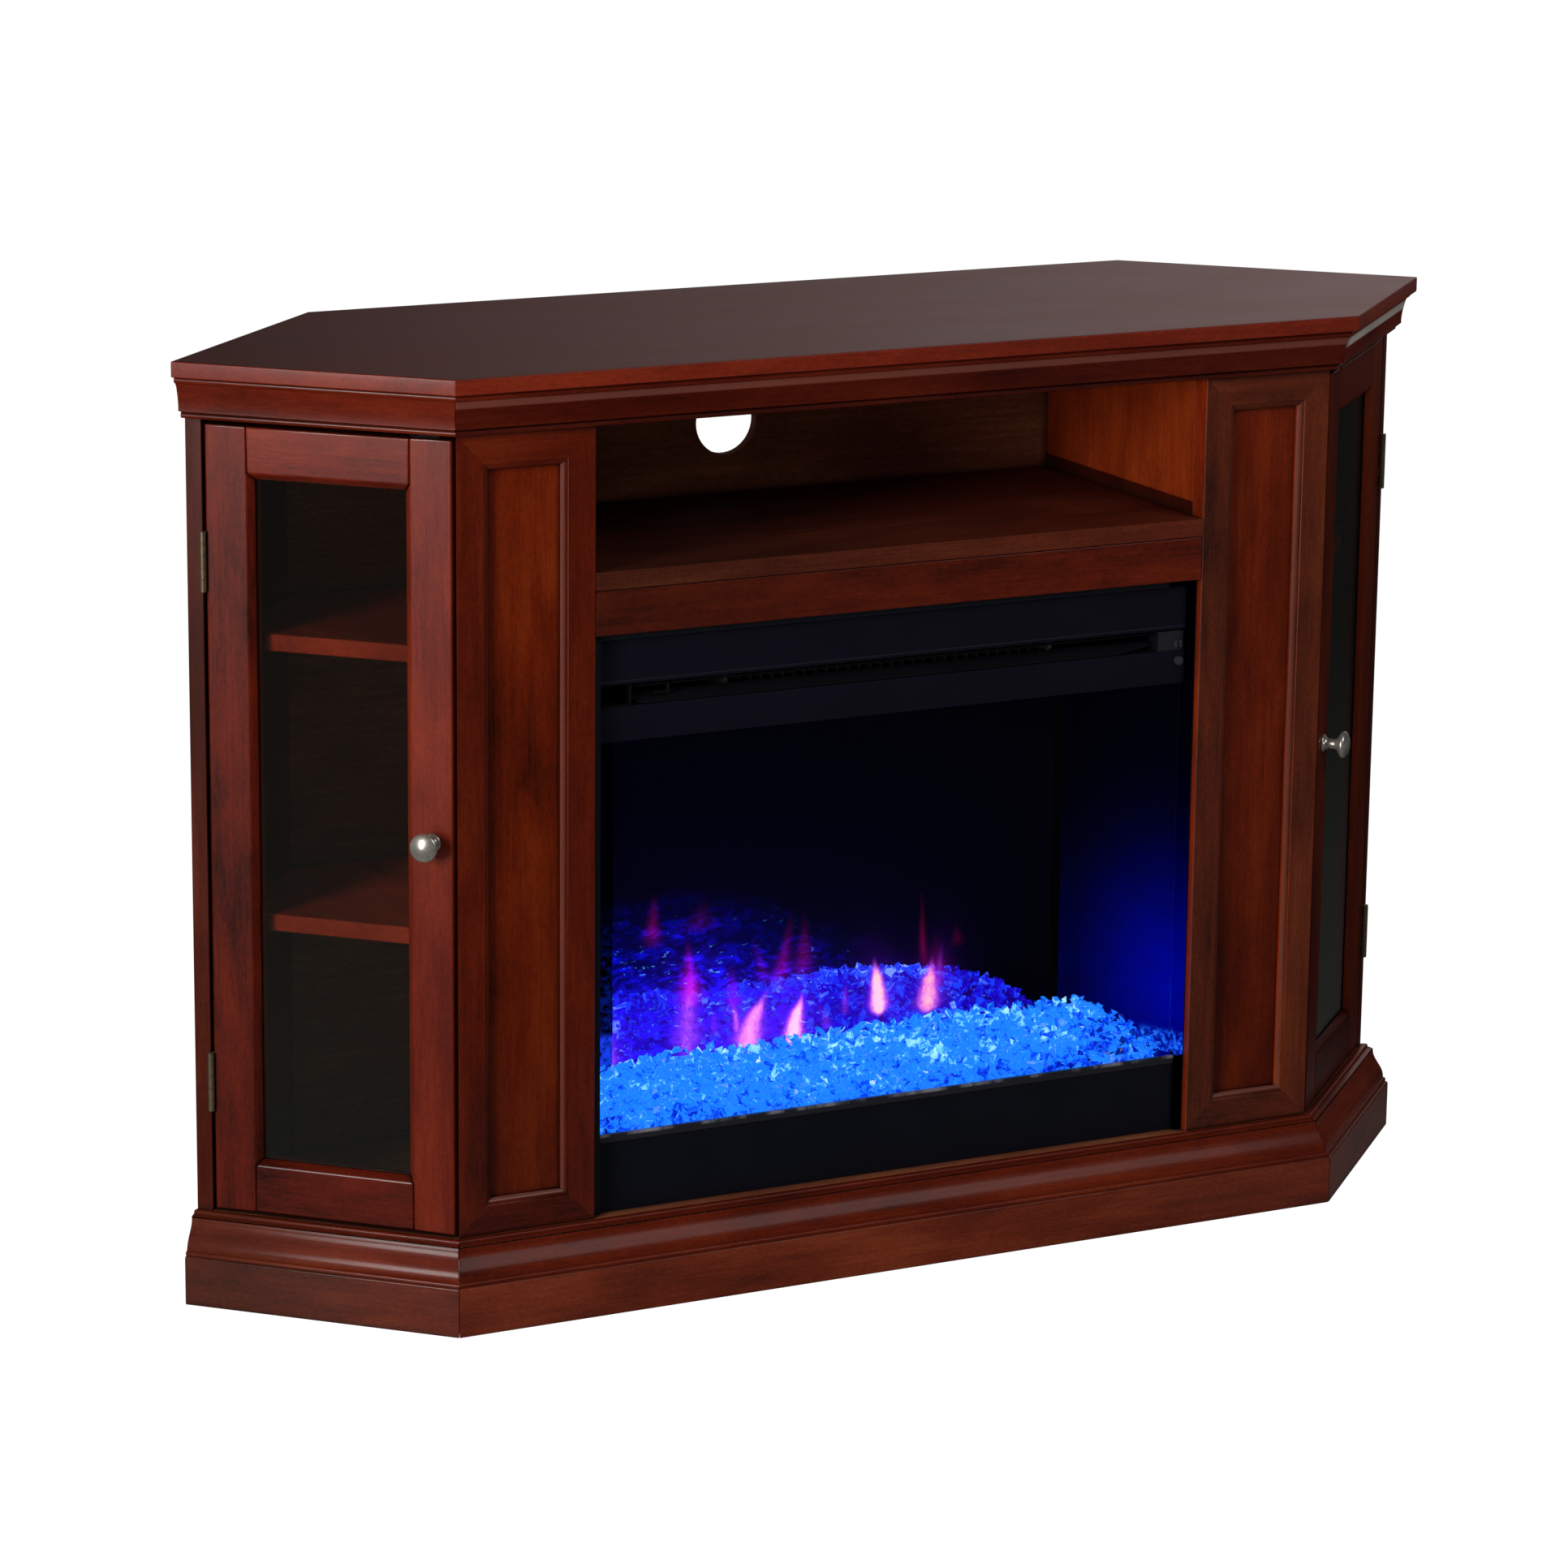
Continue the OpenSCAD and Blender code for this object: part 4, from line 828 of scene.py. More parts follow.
def screen_finish(name, fire):
    """The half-mirrored screen: it dims what is behind it and carries the flames, painted on as a glow, and a
    painted reflection of the bed.
    """
    f = Finish(name)
    at = f.place()
    heart, warm, halo, tongue, veil = (f.attribute(layer) for layer in PICTURE)
    # The flames are painted light that glows on the screen.
    heart = (heart * (0.45 + f.grain_noise(at, (230.0, 1.0, 150.0), 3.0, 0.65) * 1.10)).clamp()
    # Painted reflection of the bed: glints and haze under its crest.
    lit = f.grain_noise(at, (22.0, 1.0, 40.0), 2.0, 0.6).smooth(0.50, 0.60)
    reflected_fleck = f.grain_noise(at, (120.0, 1.0, 260.0), 2.0, 0.6, 0.6).smooth(0.62, 0.71) * lit * veil
    cloud = f.grain_noise(at, (26.0, 1.0, 60.0), 4.0, 0.7, 0.8)
    line = f.grain_noise(at, (60.0, 1.0, 130.0), 2.0, 0.6, 1.2)
    reflected_mist = veil * (cloud.smooth(0.34, 0.70) * line.smooth(0.28, 0.70) + 0.20)
    stops = [
        (0.00, (0.094, 0.005, 0.43)),
        (0.25, (0.28, 0.033, 0.61)),
        (0.50, (0.62, 0.11, 0.62)),
        (0.76, tuple(fire.flame)),
        (0.96, (0.95, 0.52, 0.50)),
    ]
    flame = f.ramp((heart * 0.72 + warm * 0.40).clamp(), stops)
    colour = f.mix((heart * 1.5).clamp(), f.mix(halo.clamp(), BLACK, (0.12, 0.004, 0.42)), flame)
    lights = ((reflected_mist, (0.004, 0.006, 1.30)), (reflected_fleck, (0.08, 0.34, 1.0)), (tongue, (0.60, 0.0, 0.10)))
    for amount, tint in lights:
        colour = f.mix(1.0, colour, f.mix(amount.clamp(), BLACK, tint), "ADD")
    clear = f.node("ShaderNodeBsdfTransparent", None, {"Color": (0.86, 0.80, 0.98, 1.0)})
    shown = f.principled(
        {
            "Base Color": (0.001, 0.001, 0.002, 1.0),
            "Roughness": 0.08,
            "Specular IOR Level": 0.1,
            "Emission Color": colour,
            "Emission Strength": 1.35,
        }
    )
    cover = (0.10 + heart * 0.80 + reflected_fleck * 0.9 + halo * 0.45 + tongue * 0.4 + reflected_mist * 1.1).clamp()
    return f.blend(cover, clear, shown)


def liner_finish(name, flange=False):
    """Black sheet of the liners, or of the case with flange, with the bed's blue light painted on the right.

    Both carry a painted reflection of the bed in a strip at the foot of the right side. On the case only the
    right flange of the mouth gets the painted light. On the liners the strip to the left of the screen carries
    a painted reflection of the bed too.
    """
    f = Finish(name)
    at = f.place()
    x, y, z = f.split(at)
    # Painted blue light from the bed.
    drop = (z - 0.205) / 0.085
    reach = (y + 0.150) / 0.066
    spot = math.e ** -(drop * drop * 0.9 + reach * reach * 0.9)
    wide_drop = (z - 0.20) / 0.26
    wide_reach = (y + 0.150) / 0.11
    wide = math.e ** -(wide_drop * wide_drop + wide_reach * wide_reach * 0.8)
    ripple = f.grain_noise(at, (30.0, 30.0, 60.0), 2.0, 0.5)
    right = x.smooth(-0.01, 0.01)
    glow = (spot * 0.29 * (0.7 + ripple * 0.6) + wide * 0.005) * right
    if flange:
        glow = glow * z.smooth(0.149, 0.153) * 0.8
    colour = f.mix(glow.clamp(), BLACK, (0.0, 0.004, 1.0))
    facet = f.grain_noise(at, (170.0, 170.0, 200.0), 2.0, 0.5, 0.8)
    # Painted reflection of the bed in a strip at the foot of the right side.
    mirror = x.smooth(0.270, 0.274) * z.smooth(0.1485, 0.150)
    mirror = mirror * (z + facet * 0.012).below(0.172, 0.178) * y.below(-0.120, -0.100)
    reflected_chips = [(0.34, (0.0, 0.002, 0.16)), (0.50, (0.002, 0.03, 0.62)), (0.60, (0.012, 0.16, 0.95))]
    colour = f.mix(mirror.clamp(), colour, f.ramp(facet, reflected_chips))
    if not flange:
        # Painted reflection of the bed in the strip to the left of the screen.
        lump = f.grain_noise(at, (160.0, 1.0, 190.0), 3.0, 0.6, 0.6)
        bed = z.below(0.198, 0.206) * lump.smooth(0.28, 0.60)
        reflected_mist = z.below(0.20, 0.33) * lump.smooth(0.38, 0.75) * 0.25
        mirrored = f.mix(bed.clamp(), f.mix(reflected_mist, (0.0, 0.0, 0.001), (0.01, 0.05, 1.0)), (0.010, 0.055, 0.95))
        strip = x.below(-0.224, -0.222) * y.smooth(-0.054, -0.049)
        colour = f.mix(strip, colour, mirrored)
    peel = f.grain_noise(at, 700.0, 2.0, 0.5)
    sockets = {
        "Base Color": (0.0002, 0.0002, 0.0006, 1.0),
        "Specular IOR Level": 0.0,
        "Roughness": (0.60 + (peel - 0.5) * 0.1).clamp(),
        "Emission Color": colour,
        "Emission Strength": 1.0,
        "Normal": f.bump(peel, 0.00002),
    }
    lit = f.principled(sockets)
    if not flange:
        return f.surface(lit)
    sockets = {"Base Color": (0.0060, 0.0075, 0.0130, 1.0), "Specular IOR Level": 0.20, "Roughness": 0.6}
    bare = y.below(-0.150, -0.142) * x.below(0.262, 0.268)
    outside = 1.0 - x.between(-0.2928, -0.2922, 0.2922, 0.2928) * z.smooth(0.0788, 0.0794)
    outside = outside + y.smooth(0.082, 0.084)
    return f.blend((bare + outside).clamp(), lit, f.principled(sockets))


# ---------------------------------------------------------------- operators


class Dressing:
    """What every operator of this file shares."""

    bl_options = {"REGISTER", "UNDO"}

    def execute(self, context):
        self.build(context)
        return {"FINISHED"}


DOOR_SIDES = ("left", "right")
# Each board with its stain and its arris, as a share of the set width, in the order in which they are made
BOARDS = (
    ("top_board", "top", 1.0),
    ("pilaster_frame_left", "lacquer", 1.2),
    ("pilaster_frame_right", "frame", 1.2),
    ("apron_rail", "rail", 1.2),
    ("head_rails", "lacquer", 1.2),
    ("cornice_front", "cornice", 1.0),
    ("cornice_sides", "cornice_end", 1.0),
    ("base_mould_front", "moulding", 1.0),
    ("base_mould_sides", "moulding", 1.0),
    ("plinth_front", "plinth", 1.0),
    ("plinth_sides", "plinth", 1.0),
    ("pilaster_panels", "panel", 1.0),
    ("end_panel_left", "end", 1.0),
    ("end_panel_right", "end", 1.0),
    ("back_panel", "inside", 1.0),
    ("bottom_board", "inside", 1.0),
    ("media_shelf", "ledge", 1.0),
    ("divider_left", "divider_left", 1.0),
    ("shelves_left", "shelf", 1.5),
    ("divider_right", "divider_right", 1.0),
    ("shelves_right", "shelf", 1.5),
)


class FIREPLACE_OT_boards(Dressing, bpy.types.Operator):
    """Round the arrises of the cabinet's boards and mouldings and stain them cherry"""

    bl_idname = "fireplace.boards"
    bl_label = "Cabinet boards"

    def build(self, context):
        wood = context.scene.fireplace_wood
        fascia = [corner.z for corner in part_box("cornice_front")]
        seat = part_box("media_shelf")[1].z
        wall = dict(lift=(1.6, 1.7, 0.85), blotch=0.9, roughness=0.5, sheen=0.12, painted_floor_shade=0.5, lacquer=0.0)
        corner_shade_span = (-0.60, -0.45)
        middle_shade_span = (-0.3, 0.3)
        # Directions and gains of painted light: leftward on the right pilaster's frame, forward on the plinth.
        leftward = ((-1, 0, 0), (2.3, 1.3, 0.6))
        forward = ((0, -1, 0), (1.3, 1.3, 1.35))
        # One cherry, lifted per board partly for its own colour and partly as painted light and shade for how
        # each board is lit.
        stains = {
            "lacquer": dict(lift=(0.76, 0.68, 0.50), sheen=0.10, gleam=0.42),
            "frame": dict(lift=(0.86, 1.4, 1.5), sheen=0.10, painted_side_light=leftward, gleam=0.42),
            "rail": dict(lift=(1.05, 0.95, 0.75), sheen=0.10, painted_shade_span=middle_shade_span, lacquer=0.25),
            "end": dict(lift=(0.44, 0.50, 0.52), sheen=0.12, lacquer=0.15),
            "ledge": dict(
                lift=(0.84, 1.35, 1.9), blotch=0.8, roughness=0.6, sheen=0.08, lacquer=0.0, painted_shade_span=middle_shade_span
            ),
            "top": dict(
                lift=(1.32, 1.10, 1.0), blotch=0.6, roughness=0.40, sheen=0.18, top=0.42, lacquer=0.12
            ),
            "cornice": dict(
                lift=(0.82, 0.72, 0.70), roughness=0.34, sheen=0.08, lacquer=0.15, glaze_and_shade=0.45, painted_cove_light=fascia
            ),
            "moulding": dict(
                lift=(0.90, 0.85, 0.65), blotch=1.1, roughness=0.36, sheen=0.12, lacquer=0.14, glaze_and_shade=0.55,
                painted_shade_span=corner_shade_span,
            ),
            "cornice_end": dict(
                lift=(0.98, 0.85, 0.62), blotch=1.1, roughness=0.34, sheen=0.12, lacquer=0.2, glaze_and_shade=0.55,
                shine=fascia,
            ),
            "plinth": dict(
                lift=(0.90, 1.2, 1.2), blotch=1.1, roughness=0.42, sheen=0.24, lacquer=0.2, painted_side_light=forward,
                painted_shade_span=corner_shade_span,
            ),
            "panel": dict(
                lift=(1.02, 0.92, 0.42), blotch=1.1, roughness=0.34, sheen=0.08, painted_floor_shade=0.6, lacquer=0.2
            ),
            "inside": dict(lift=(1.45, 4.2, 6.8), blotch=0.8, roughness=0.6, sheen=0.08, lacquer=0.0),
            "divider_left": wall,
            "divider_right": dict(wall, painted_shadow_band=(seat, seat + 0.012)),
            "shelf": dict(lift=(1.8, 1.3, 1.3), blotch=0.8, roughness=0.55, sheen=0.06, lacquer=0.0),
        }
        finishes = {name: wood_finish(f"cherry_{name}", wood, **look) for name, look in stains.items()}
        for node, stain, width in BOARDS:
            softened(node, finishes[stain], wood.arris * width)
        softened("sub_base_rails", raw_wood_finish("raw_poplar"), wood.arris)


# The knob's outline as (distance from the door, radius) in mm
KNOB_RINGS = (
    (0.0, 8.0), (0.9, 8.0), (1.5, 7.6), (2.3, 6.6), (3.2, 5.3), (5.2, 4.7), (9.0, 4.6), (12.0, 4.8),
    (13.6, 5.8), (14.8, 7.6), (15.8, 9.6), (16.8, 11.1), (17.9, 11.9), (19.1, 12.2), (20.2, 12.0),
    (21.1, 11.3), (21.8, 10.4), (22.6, 9.0), (23.5, 7.0), (24.3, 4.6), (24.8, 2.4), (25.0, 0.5),
)


def turned_knob(name, centre, axis, material, node):
    """A knob turned on a lathe, with its foot at the centre and its head along the axis."""
    segments = 56
    bm = bmesh.new()
    side = axis.orthogonal().normalized()
    up = axis.cross(side)
    loops = []
    for along, radius in KNOB_RINGS:
        loop = []
        for i in range(segments):
            a = 2 * math.pi * i / segments
            out = (side * math.cos(a) + up * math.sin(a)) * (radius * MM)
            loop.append(bm.verts.new(centre + axis * (along * MM) + out))
        loops.append(loop)
    for first, second in zip(loops, loops[1:]):
        for i in range(segments):
            j = (i + 1) % segments
            bm.faces.new((first[i], first[j], second[j], second[i]))
    bm.faces.new(loops[0][::-1])
    bm.faces.new(loops[-1])
    bmesh.ops.recalc_face_normals(bm, faces=bm.faces)
    for face in bm.faces:
        face.smooth = True
    stand_in(name, mesh_of(bm, name), material, node)


class FIREPLACE_OT_doors(Dressing, bpy.types.Operator):
    """Stain the two doors, glaze them and turn their knobs"""

    bl_idname = "fireplace.doors"
    bl_label = "Doors"

    def build(self, context):
        wood = context.scene.fireplace_wood
        # The left door's stain is a lit copy and the right door's a shaded copy of one cherry: painted light
        # and shade. On the left door, what faces forward and right gets painted light.
        painted_side_light = ((math.sqrt(0.5), -math.sqrt(0.5), 0), (1.9, 2.2, 2.4))
        lit = dict(lift=(1.18, 0.94, 0.80), sheen=0.15, lacquer=0.26, painted_floor_shade=0.5, painted_side_light=painted_side_light)
        dim = dict(lift=(0.62, 0.60, 0.55), sheen=0.06, lacquer=0.15, painted_floor_shade=0.3)
        stains = {
            "left": wood_finish("cherry_door", wood, **lit),
            "right": wood_finish("cherry_far_door", wood, **dim),
        }
        # Each pane's grey haze is a painted reflection, strongest on the right pane.
        panes = {
            "left": glass_finish("left_door_pane", (0.88, 0.91, 0.88), 0.75, 0.02, 0.05, 0.026),
            "right": glass_finish("right_door_pane", (0.70, 0.74, 0.72), 0.30, 0.02, 0.05, 0.36),
        }
        pewter_tones = ((0.30, 0.27, 0.22), (0.80, 0.76, 0.68))
        brass_tones = ((0.05, 0.034, 0.020), (0.26, 0.19, 0.11))
        pin_tones = ((0.35, 0.35, 0.34), (0.62, 0.62, 0.60))
        pewter = metal_finish("antique_pewter", pewter_tones, 420.0, 0.30, 0.4, 0.8)
        brass = metal_finish("antique_brass", brass_tones, 500.0, 0.42, 0.5, 0.6)
        for side in DOOR_SIDES:
            softened(f"door_frame_{side}", stains[side], wood.arris * 1.7)
            softened(f"glass_beads_{side}", stains[side], wood.arris * 0.7)
            dress(NODES[f"door_glass_{side}"], panes[side])
            out = Vector((-1 if side == "left" else 1, -1, 0)).normalized()
            turned_knob(f"knob_{side}", KNOB_SEAT[side], out, pewter, f"door_knob_{side}")
            softened(f"door_hardware_{side}", brass, 0.00025, grain=False)
        softened("case_hinges", brass, 0.00025, grain=False)
        dress(NODES["shelf_pins"], metal_finish("nickel_pins", pin_tones, 300.0, 0.3))
        dress(NODES["door_catches"], plastic_finish("catch_body", (0.05, 0.028, 0.018), 0.5))


def knob_seats():
    """The middle of each knob's foot, which is its end nearest the door's face."""
    seats = {}
    for side in DOOR_SIDES:
        points = np.array([v.co for v in NODES[f"door_knob_{side}"].data.vertices])
        sign = -1 if side == "left" else 1
        out = np.array((sign, -1, 0)) / math.sqrt(2)
        depth = points @ out
        foot = points[depth < depth.min() + 0.0001]
        seats[side] = Vector((foot.max(0) + foot.min(0)) / 2)
    return seats


KNOB_SEAT = knob_seats()


class FIREPLACE_OT_firebox(Dressing, bpy.types.Operator):
    """Coat the firebox's sheet metal, its hood, panels and channel, and glaze its mouth"""

    bl_idname = "fireplace.firebox"
    bl_label = "Firebox"

    def build(self, context):
        black = black_finish("black_coat", (0.0034, 0.0043, 0.0084))
        hood = black_finish("hood_coat", (0.0058, 0.0055, 0.0120), 0.45, sheen=0.10)
        for node in ("lower_hood", "bottom_panel", "vent_hood"):
            softened(node, hood if "hood" in node else black, 0.0003, grain=False)
        softened("firebox_case", liner_finish("lit_case", flange=True), 0.0003, grain=False)
        channel = black_finish("gloss_channel", (0.016, 0.016, 0.021), 0.14, 0.00001, painted_glints=0.5)
        softened("glass_channel", channel, 0.0003, grain=False)
        dress(NODES["front_glass"], glass_finish("fire_pane", (0.96, 0.96, 0.98), 0.10, 0.01))
        softened("side_liners", liner_finish("lit_liner"), 0.0003, grain=False)
        dark = black_finish("vent_coat", (0.003, 0.003, 0.005), 0.5)
        for node in ("air_deflector", "vent_brackets"):
            softened(node, dark, 0.0002, grain=False)


class FIREPLACE_OT_embers(Dressing, bpy.types.Operator):
    """Heap the crushed glass on the tray and behind the flame screen, and light it"""

    bl_idname = "fireplace.embers"
    bl_label = "Ember glass"

    def build(self, context):
        fire = context.scene.fireplace_fire
        dice = random.Random(11)
        screen_low, screen_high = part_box("flame_screen")
        liner_low, liner_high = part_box("side_liners")
        y0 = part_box("front_glass")[1].y + 0.007
        y1 = screen_low.y - 0.010
        wide = liner_high.x - 0.001
        narrow = screen_high.x - 0.001
        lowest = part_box("ember_tray")[0].z + TRAY_FLOOR + 0.004

        def wall(y):
            """Half the width between the splayed liners."""
            t = (y - liner_low.y) / (liner_high.y - liner_low.y)
            return wide + (narrow - wide) * t

        def front_ends(y):
            return -(wall(y) - 0.003), wall(y) - 0.003

        def front_keep(x, y):
            return min(max(x, -wall(y) + 0.003), wall(y) - 0.002)

        def front_height(x, y):
            crest = crest_height(x / MM, FRONT_CREST) * MM
            t = min(max((y - y0) / (y1 - 0.010 - y0), 0.0), 1.0)
            steep = float(np.interp(x / MM, [190, 275], [0.85, 0.25]))
            return FRONT_FOOT + (crest - FRONT_FOOT) * (t**steep)

        def front_light(x, y):
            across, back = x / MM, (y - FACE_Y) / MM
            cloud = noise.noise(Vector((across / 42, back / 13, 1.0)))
            cloud = 1.5 * cloud if cloud > 0 else cloud
            fine = noise.noise(Vector((across / 15, back / 11, 5.0)))
            middle = 1 - abs(across + 10) / 420
            front = np.interp(back, [20, 34, 60, 92, 112], [-0.22, -0.05, 0.06, 0.06, -0.13])
            right_end = np.interp(across, [190, 285], [0, -0.26])
            left_end = np.interp(across, [-285, -215], [-0.16, 0]) * np.interp(back, [20, 60], [1, 0])
            crest = np.interp(back, [84, 110], [0, 1])
            right = np.interp(across, [150, 270], [0, 1])
            left = np.interp(across, [-280, -230], [1, 0])
            level = 0.47 + 0.10 * middle + front + 0.20 * cloud + 0.08 * fine + right_end + left_end
            return level, 0.24 + 0.40 * max(crest, right, left)

        ice, deep = tuple(fire.ice), tuple(fire.deep)
        stops = [
            (0.06, [c * 0.25 for c in deep]),
            (0.20, deep),
            (0.30, (0.002, 0.05, 0.86)),
            (0.38, ice),
            (0.72, (0.014, 0.235, 1.0)),
            (0.76, (0.13, 0.56, 0.94)),
            (0.86, (0.26, 0.74, 0.90)),
            (0.95, (0.52, 0.96, 0.90)),
        ]
        bright = ember_finish("lit_ember_glass", stops, 1.0, 0.6)
        front = (y0, y1)
        lumps, sizes = (-0.003, 0.0025), (0.65, 1.35)
        places = scatter(dice, fire, front, front_ends, front_keep, front_height, lumps, sizes, lowest)
        heap("ember_bed_front", places, front_light, "ember_glass_front", bright, 21)
        spans = ((-wide + 0.012, wide - 0.012), front)
        underlay("ember_bed_front_body", spans, front_height, 0.36, "ember_glass_front", bright)

        rear_low, rear_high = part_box("ember_glass_rear")
        y0r = screen_high.y + 0.006
        y1r = rear_high.y - 0.006
        crest_y = y0r + (y1r - y0r) * 0.72

        def rear_ends(y):
            return rear_low.x + 0.004, rear_high.x - 0.004

        def rear_keep(x, y):
            return x

        def rear_height(x, y):
            crest = crest_height(x / MM, REAR_CREST) * MM
            t = min(max((y - y0r) / (crest_y - y0r), 0.0), 1.0)
            return REAR_FOOT + (crest - REAR_FOOT) * (t**0.9) - max(0.0, y - crest_y) * 0.3

        def rear_light(x, y):
            across, back = x / MM, (y - FACE_Y) / MM
            cloud = noise.noise(Vector((across / 30, back / 26, 9.0)))
            places = [-240, -150, 20, 110, 180, 240]
            ends = np.interp(across, places, [-0.10, 0.0, 0.10, 0.08, -0.08, -0.22])
            top = np.interp(back, [122, 145, 175, 195], [-0.24, -0.10, 0.02, 0.10])
            return 0.43 + 0.26 * cloud + ends + top, 0.62

        stops = [
            (0.04, (0.012, 0.0, 0.12)),
            (0.20, (0.012, 0.0006, 0.42)),
            (0.36, (0.014, 0.004, 0.70)),
            (0.50, (0.013, 0.045, 1.0)),
            (0.70, (0.015, 0.11, 1.3)),
            (0.84, (0.05, 0.20, 1.5)),
            (0.96, (0.35, 0.75, 1.6)),
        ]
        dim = ember_finish("rear_ember_glass", stops, 1.15, 0.8)
        rear = (y0r, y1r)
        places = scatter(dice, fire, rear, rear_ends, rear_keep, rear_height, (-0.003, 0.003), (0.75, 1.5))
        heap("ember_bed_rear", places, rear_light, "ember_glass_rear", dim, 22)
        spans = ((rear_low.x + 0.006, rear_high.x - 0.006), rear)
        underlay("ember_bed_rear_body", spans, rear_height, 0.30, "ember_glass_rear", dim)
        dress(NODES["ember_tray"], plastic_finish("clear_tray", (0.02, 0.05, 0.20), 0.3))
        dress(NODES["light_strip"], plastic_finish("lamp_board", (0.7, 0.72, 0.75), 0.4))


class FIREPLACE_OT_flame_screen(Dressing, bpy.types.Operator):
    """Make the half-mirrored screen with its flame picture"""

    bl_idname = "fireplace.flame_screen"
    bl_label = "Flame screen"

    def build(self, context):
        fire = context.scene.fireplace_fire
        low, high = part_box("flame_screen")
        bm = bmesh.new()
        bmesh.ops.create_cube(bm, size=1.0)
        for v in bm.verts:
            v.co = Vector([low[i] + (v.co[i] + 0.5) * (high[i] - low[i]) for i in range(3)])
        front = [f for f in bm.faces if f.normal.y < -0.5]
        bmesh.ops.delete(bm, geom=front, context="FACES_ONLY")
        step = 0.0018
        columns, rows = round((high.x - low.x) / step), round((high.z - low.z) / step)
        xs, zs = np.linspace(low.x, high.x, columns + 1), np.linspace(low.z, high.z, rows + 1)
        grid = [[bm.verts.new((x, low.y, z)) for x in xs] for z in zs]
        for j in range(rows):
            for i in range(columns):
                bm.faces.new((grid[j][i], grid[j][i + 1], grid[j + 1][i + 1], grid[j + 1][i]))
        bmesh.ops.remove_doubles(bm, verts=bm.verts, dist=1e-6)
        mesh = mesh_of(bm, "flame_screen_pane")
        points = np.array([v.co for v in mesh.vertices]) / MM
        for name, values in zip(PICTURE, flame_picture(points[:, 0], points[:, 2])):
            values = np.where(points[:, 1] < low.y / MM + 0.01, values, 0.0)
            set_attribute(mesh, name, "FLOAT", "POINT", values)
        stand_in("flame_screen_pane", mesh, screen_finish("flame_screen_picture", fire), "flame_screen")


class FIREPLACE_OT_mechanism(Dressing, bpy.types.Operator):
    """Finish the fan heater, the flame rotor and what carries them"""

    bl_idname = "fireplace.mechanism"
    bl_label = "Heater and flame drive"

    def build(self, context):
        bright = metal_finish("bright_foil", ((0.5, 0.5, 0.5), (0.8, 0.8, 0.8)), 200.0, 0.25)
        zinc = metal_finish("zinc_sheet", ((0.22, 0.23, 0.24), (0.40, 0.41, 0.42)), 90.0, 0.42)
        for node in ("flame_rotor", "blower_wheel"):
            dress(NODES[node], bright)
        for node in ("rotor_mounts", "heater_box", "blower_motor"):
            dress(NODES[node], zinc)
        fins = metal_finish("heater_fins", ((0.05, 0.05, 0.05), (0.14, 0.14, 0.14)), 150.0, 0.5)
        dress(NODES["heating_element"], fins)


class FIREPLACE_OT_controls(Dressing, bpy.types.Operator):
    """Finish the control panel, its buttons and the cord gland"""

    bl_idname = "fireplace.controls"
    bl_label = "Controls"

    def build(self, context):
        shell = plastic_finish("panel_plastic", (0.014, 0.015, 0.020), 0.4)
        softened("control_panel", shell, 0.0002, grain=False)
        keys = plastic_finish("key_plastic", (0.030, 0.032, 0.042), 0.35)
        for node in ("heat_button", "timer_button", "power_button"):
            softened(node, keys, 0.0003, grain=False)
        dress(NODES["cord_gland"], plastic_finish("gland_rubber", (0.012, 0.012, 0.012), 0.6))


# Where the photograph was taken from, in metres and degrees
CAMERA = {"place": (-2.1304, -4.1235, 1.5371), "yaw": 26.9486, "pitch": 13.8276, "roll": 0.6193}
# The lens in millimetres: it is 6600.8 pixels long on a photograph 1932 pixels wide
SENSOR = 36.0
LENS = 6600.8 / 1932 * SENSOR


def look_matrix(place, yaw, pitch, roll):
    """A camera's matrix from its place and three angles in degrees."""
    yaw, pitch, roll = (math.radians(a) for a in (yaw, pitch, roll))
    ahead = Vector((math.sin(yaw) * math.cos(pitch), math.cos(yaw) * math.cos(pitch), -math.sin(pitch)))
    right = Vector((math.cos(yaw), -math.sin(yaw), 0))
    up = right.cross(ahead)
    side = right * math.cos(roll) + up * math.sin(roll)
    top = up * math.cos(roll) - right * math.sin(roll)
    turn = Matrix((side, top, -ahead)).transposed().to_4x4()
    return Matrix.Translation(Vector(place)) @ turn


def area_lamp(name, place, aim, size, power, colour):
    data = bpy.data.lights.new(name, "AREA")
    data.shape = "RECTANGLE"
    data.size, data.size_y = size
    data.energy = power
    data.color = colour
    lamp = bpy.data.objects.new(name, data)
    bpy.context.scene.collection.objects.link(lamp)
    lamp.location = place
    lamp.rotation_mode = "QUATERNION"
    lamp.rotation_quaternion = (Vector(aim) - Vector(place)).to_track_quat("-Z", "Y")


